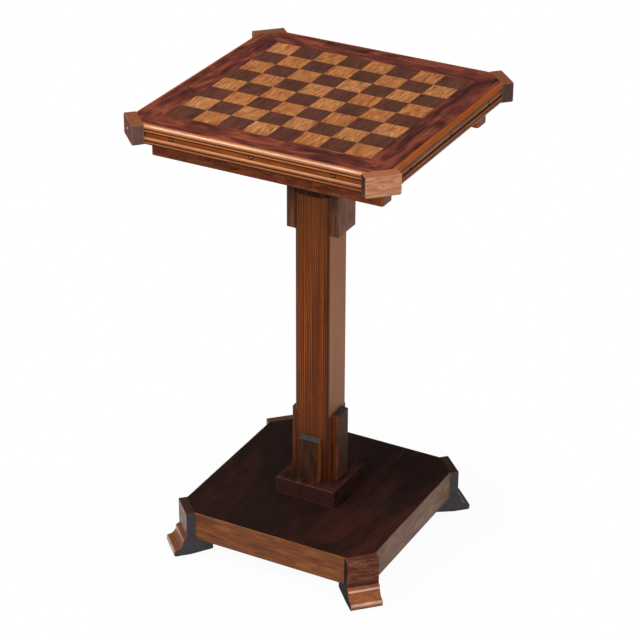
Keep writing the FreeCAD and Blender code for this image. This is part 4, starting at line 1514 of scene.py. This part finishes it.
@dataclass(frozen=True)
class DomedFixing:
    """A nail or pin with a domed head. Lengths are in millimetres."""

    name: str
    head: float
    rise: float
    shank: float
    depth: float
    rim_share: float = 0.25
    dome_steps: int = 5

    def build(self, tilt: Matrix) -> bpy.types.Object:
        """Turn the fixing, with the back of its head at height 0.

        Args:
            tilt: a rotation that lays its axis in its place.

        Returns:
            A helper object.
        """
        angles = [math.tau / 4 * step / self.dome_steps for step in range(self.dome_steps)]
        dome = [(self.head * math.cos(angle), self.rise
                 * (self.rim_share + (1 - self.rim_share) * math.sin(angle))) for angle in angles]
        return lathe(self.name, [(0, -self.depth), (self.shank, -self.depth), (self.shank, 0),
                                 (self.head, 0), *dome, (0, self.rise)], tilt)


@dataclass
class Fixings:
    """Nails in the mouldings, pins in the corner blocks, and the hidden screws."""

    nail: DomedFixing = DomedFixing("nail", head=1.3, rise=0.6, shank=0.8, depth=3.0)
    pin: DomedFixing = DomedFixing("pin", head=2.1, rise=1.1, shank=1.3, depth=5.0)
    seed: int = 3
    tree: bpy.types.NodeTree = field(default_factory=fixing_tree)

    def set_rows(self, node: str, helper: bpy.types.Object, finish: MetalFinish,
                 values: dict[str, object]) -> None:
        """Set one group of fixings on all four sides, in place of its CAD node.

        Args:
            node: the CAD node.
            helper: one fixing, which is removed afterwards.
            finish: the fixing's metal.
            values: the tree's inputs for the row.
        """
        stand_in(grown(f"{node}_set", self.tree, {
            "Fixing": helper, "Finish": finish.make(), "Seed": self.seed, "Rows": len(Side),
            **values}), node)
        bpy.data.objects.remove(helper)

    def build(self) -> None:
        """Set the nails and pins, and dress the screws."""
        low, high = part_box("moulding_nails")
        pitch = NAIL_PITCH_MM * MM
        outward = Matrix.Rotation(math.tau / 4, 4, "X")
        self.set_rows("moulding_nails", self.nail.build(outward), DULL_BRASS, {
            "Count": NAILS_A_SIDE, "Step": (pitch, 0, 0), "Spin Axis": (0, 1, 0),
            "Start": (-pitch * (NAILS_A_SIDE - 1) / 2, low.y + self.nail.rise * MM,
                      (low.z + high.z) / 2)})
        low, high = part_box("corner_pins")
        diagonal = Matrix.Rotation(math.tau / 8, 4, "Z") @ Matrix.Rotation(math.tau / 4, 4, "Y")
        corner = Corner.BACK_RIGHT
        out = own_box(f"corner_block_{corner}", corner.value)[1].x / math.sqrt(2)
        self.set_rows("corner_pins", self.pin.build(diagonal), BRASS, {
            "Count": 1, "Step": (0, 0, 0), "Spin Axis": (1, 1, 0),
            "Start": (out, out, (low.z + high.z) / 2)})
        for node in ("batten_screws", "plinth_screws"):
            paint(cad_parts[node], STEEL.make())


# The studio

@dataclass(frozen=True)
class Softbox:
    """One square lamp: its side in metres, its power in watts and the point that it faces."""

    name: str
    place: tuple[float, float, float]
    side: float
    power: float
    colour: str = "FFFFFF"
    aim: tuple[float, float, float] = (0.0, 0.0, 0.4)

    def hang(self) -> None:
        """Hang the lamp and aim it."""
        data = bpy.data.lights.new(self.name, "AREA")
        data.size = self.side
        data.energy = self.power
        data.color = linear(self.colour)[:3]
        facing = (Vector(self.place) - Vector(self.aim)).to_track_quat("Z", "Y")
        placed(self.name, data).matrix_world = (Matrix.Translation(self.place)
                                                @ facing.to_matrix().to_4x4())


@dataclass
class Studio:
    """A pale floor, soft lamps and the camera of the photograph.

    Lengths are in metres, angles in degrees and places in the image in pixels of 640. A fade
    is two places and the strengths there.
    """

    image_px: float = 640.0
    focal_px: float = 2315.4
    centre_px: tuple[float, float] = (317.1, 320.9)
    azimuth: float = 28.14
    elevation: float = 27.91
    roll: float = 0.19
    target: tuple[float, float, float] = (0.0, 0.0, 0.350)
    offset: tuple[float, float, float] = (0.00543, 0.01172, 3.4929)
    sensor_mm: float = 36.0
    sky_strength: float = 0.34
    sweep_behind: tuple[float, ...] = (-0.5, 0.3, 0.05, 1.0)
    sweep_above: tuple[float, ...] = (0.02, 0.25, 1.0, 0.08)
    sweep_below: tuple[float, ...] = (-0.3, -0.05, 0.1, 1.0)
    floor_x: tuple[float, float] = (-1.3, 0.74)
    floor_y: tuple[float, float] = (-0.45, 1.3)
    floor_fade: tuple[float, ...] = (0.25, 0.44, 0.955, 1.0)
    paper: float = 0.9
    lamps: tuple[Softbox, ...] = (
        Softbox("key_softbox", (-1.04, -1.38, 2.67), side=1.9, power=62.0, colour="FFFAF2",
                aim=(0.0, -0.2, 0.72)),
        Softbox("right_softbox", (2.8, -0.9, 1.3), side=1.6, power=26.0))

    def camera(self) -> None:
        """Stand the camera where the photograph was taken from."""
        azimuth, elevation = math.radians(self.azimuth), math.radians(self.elevation)
        back = Vector((math.sin(azimuth) * math.cos(elevation),
                       -math.cos(azimuth) * math.cos(elevation), math.sin(elevation)))
        right = (-back).cross(Vector((0, 0, 1))).normalized()
        down = (-back).cross(right)
        roll = math.radians(self.roll)
        across = right * math.cos(roll) - down * math.sin(roll)
        fall = right * math.sin(roll) + down * math.cos(roll)
        place = Vector(self.target) - (across * self.offset[0] + fall * self.offset[1]
                                       - back * self.offset[2])
        data = bpy.data.cameras.new("camera")
        data.sensor_width = self.sensor_mm
        data.sensor_fit = "HORIZONTAL"
        data.lens = self.focal_px / self.image_px * self.sensor_mm
        data.shift_x = 0.5 - self.centre_px[0] / self.image_px
        data.shift_y = self.centre_px[1] / self.image_px - 0.5
        data.clip_end = 50
        camera = placed("camera", data)
        turn = Matrix((across, -fall, back)).transposed().to_4x4()
        camera.matrix_world = Matrix.Translation(place) @ turn
        bpy.context.scene.camera = camera

    def world(self) -> None:
        """Set the soft sky: white where the camera looks, a sweep behind and a dim room before."""
        world = bpy.data.worlds.new("studio_sky")
        bpy.context.scene.world = world
        sky = Wiring(blank_tree(world))
        path = sky.add("ShaderNodeLightPath").outputs
        way = sky.add("ShaderNodeTexCoord").outputs["Generated"]
        _, y, z = sky.add(Step.SPLIT, way).outputs
        behind, above, under = (sky.add(Step.SOFT_STEP, axis, *fade) for axis, fade in (
            (y, self.sweep_behind), (z, self.sweep_above), (z, self.sweep_below)))
        sweep = sky.add(Step.MULTIPLY, sky.add(Step.MULTIPLY, behind, above), under)
        seen = sky.add(Step.MOST, path["Is Glossy Ray"], path["Is Transmission Ray"])
        soft = sky.add("ShaderNodeMix", {0: seen, 2: self.sky_strength, 3: sweep},
                       data_type="FLOAT")
        strength = sky.add(Step.MOST, soft, path["Is Camera Ray"])
        light = sky.add("ShaderNodeBackground", {"Color": (1, 1, 1, 1), "Strength": strength})
        sky.add("ShaderNodeOutputWorld", light)

    def floor(self) -> None:
        """Lay the pale floor, which looks white and keeps the table's soft shadow."""
        shape = bmesh.new()
        (left, right), (front, back) = self.floor_x, self.floor_y
        corners = ((left, front), (right, front), (right, back), (left, back))
        shape.faces.new([shape.verts.new((x, y, 0)) for x, y in corners])
        floor = placed("studio_floor", drawn("studio_floor", shape))
        material = bpy.data.materials.new("white_paper")
        paper = Wiring(blank_tree(material))
        path = paper.add("ShaderNodeLightPath").outputs
        seen = paper.add(Step.MOST, path["Is Camera Ray"], path["Is Transmission Ray"])
        seen = paper.add(Step.MOST, seen, path["Is Glossy Ray"])
        place = paper.add("ShaderNodeTexCoord").outputs["Object"]
        far = paper.add("ShaderNodeVectorMath", place, operation="LENGTH").outputs["Value"]
        lit = paper.add(Step.SOFT_STEP, far, *self.floor_fade)
        grey = (self.paper, self.paper, self.paper, 1)
        lying = paper.add("ShaderNodeBsdfDiffuse", {"Color": grey})
        glow = paper.add("ShaderNodeEmission", {"Color": (1, 1, 1, 1), "Strength": 1.0})
        shader = paper.add("ShaderNodeMixShader", paper.add(Step.MULTIPLY, seen, lit), lying, glow)
        paper.add("ShaderNodeOutputMaterial", shader)
        paint(floor, material)

    def build(self) -> None:
        """Set up the whole studio."""
        bpy.context.scene.view_settings.view_transform = "Standard"
        self.camera()
        self.world()
        self.floor()
        for lamp in self.lamps:
            lamp.hang()


def main() -> None:
    """Set up the studio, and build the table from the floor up."""
    logging.basicConfig(level=logging.INFO, format="%(message)s")
    for part in (Studio(), Base(), Pillar(), InlaidTop(), Fixings()):
        part.build()
        LOG.info("%s done", type(part).__name__)


if __name__ == "__main__":
    main()
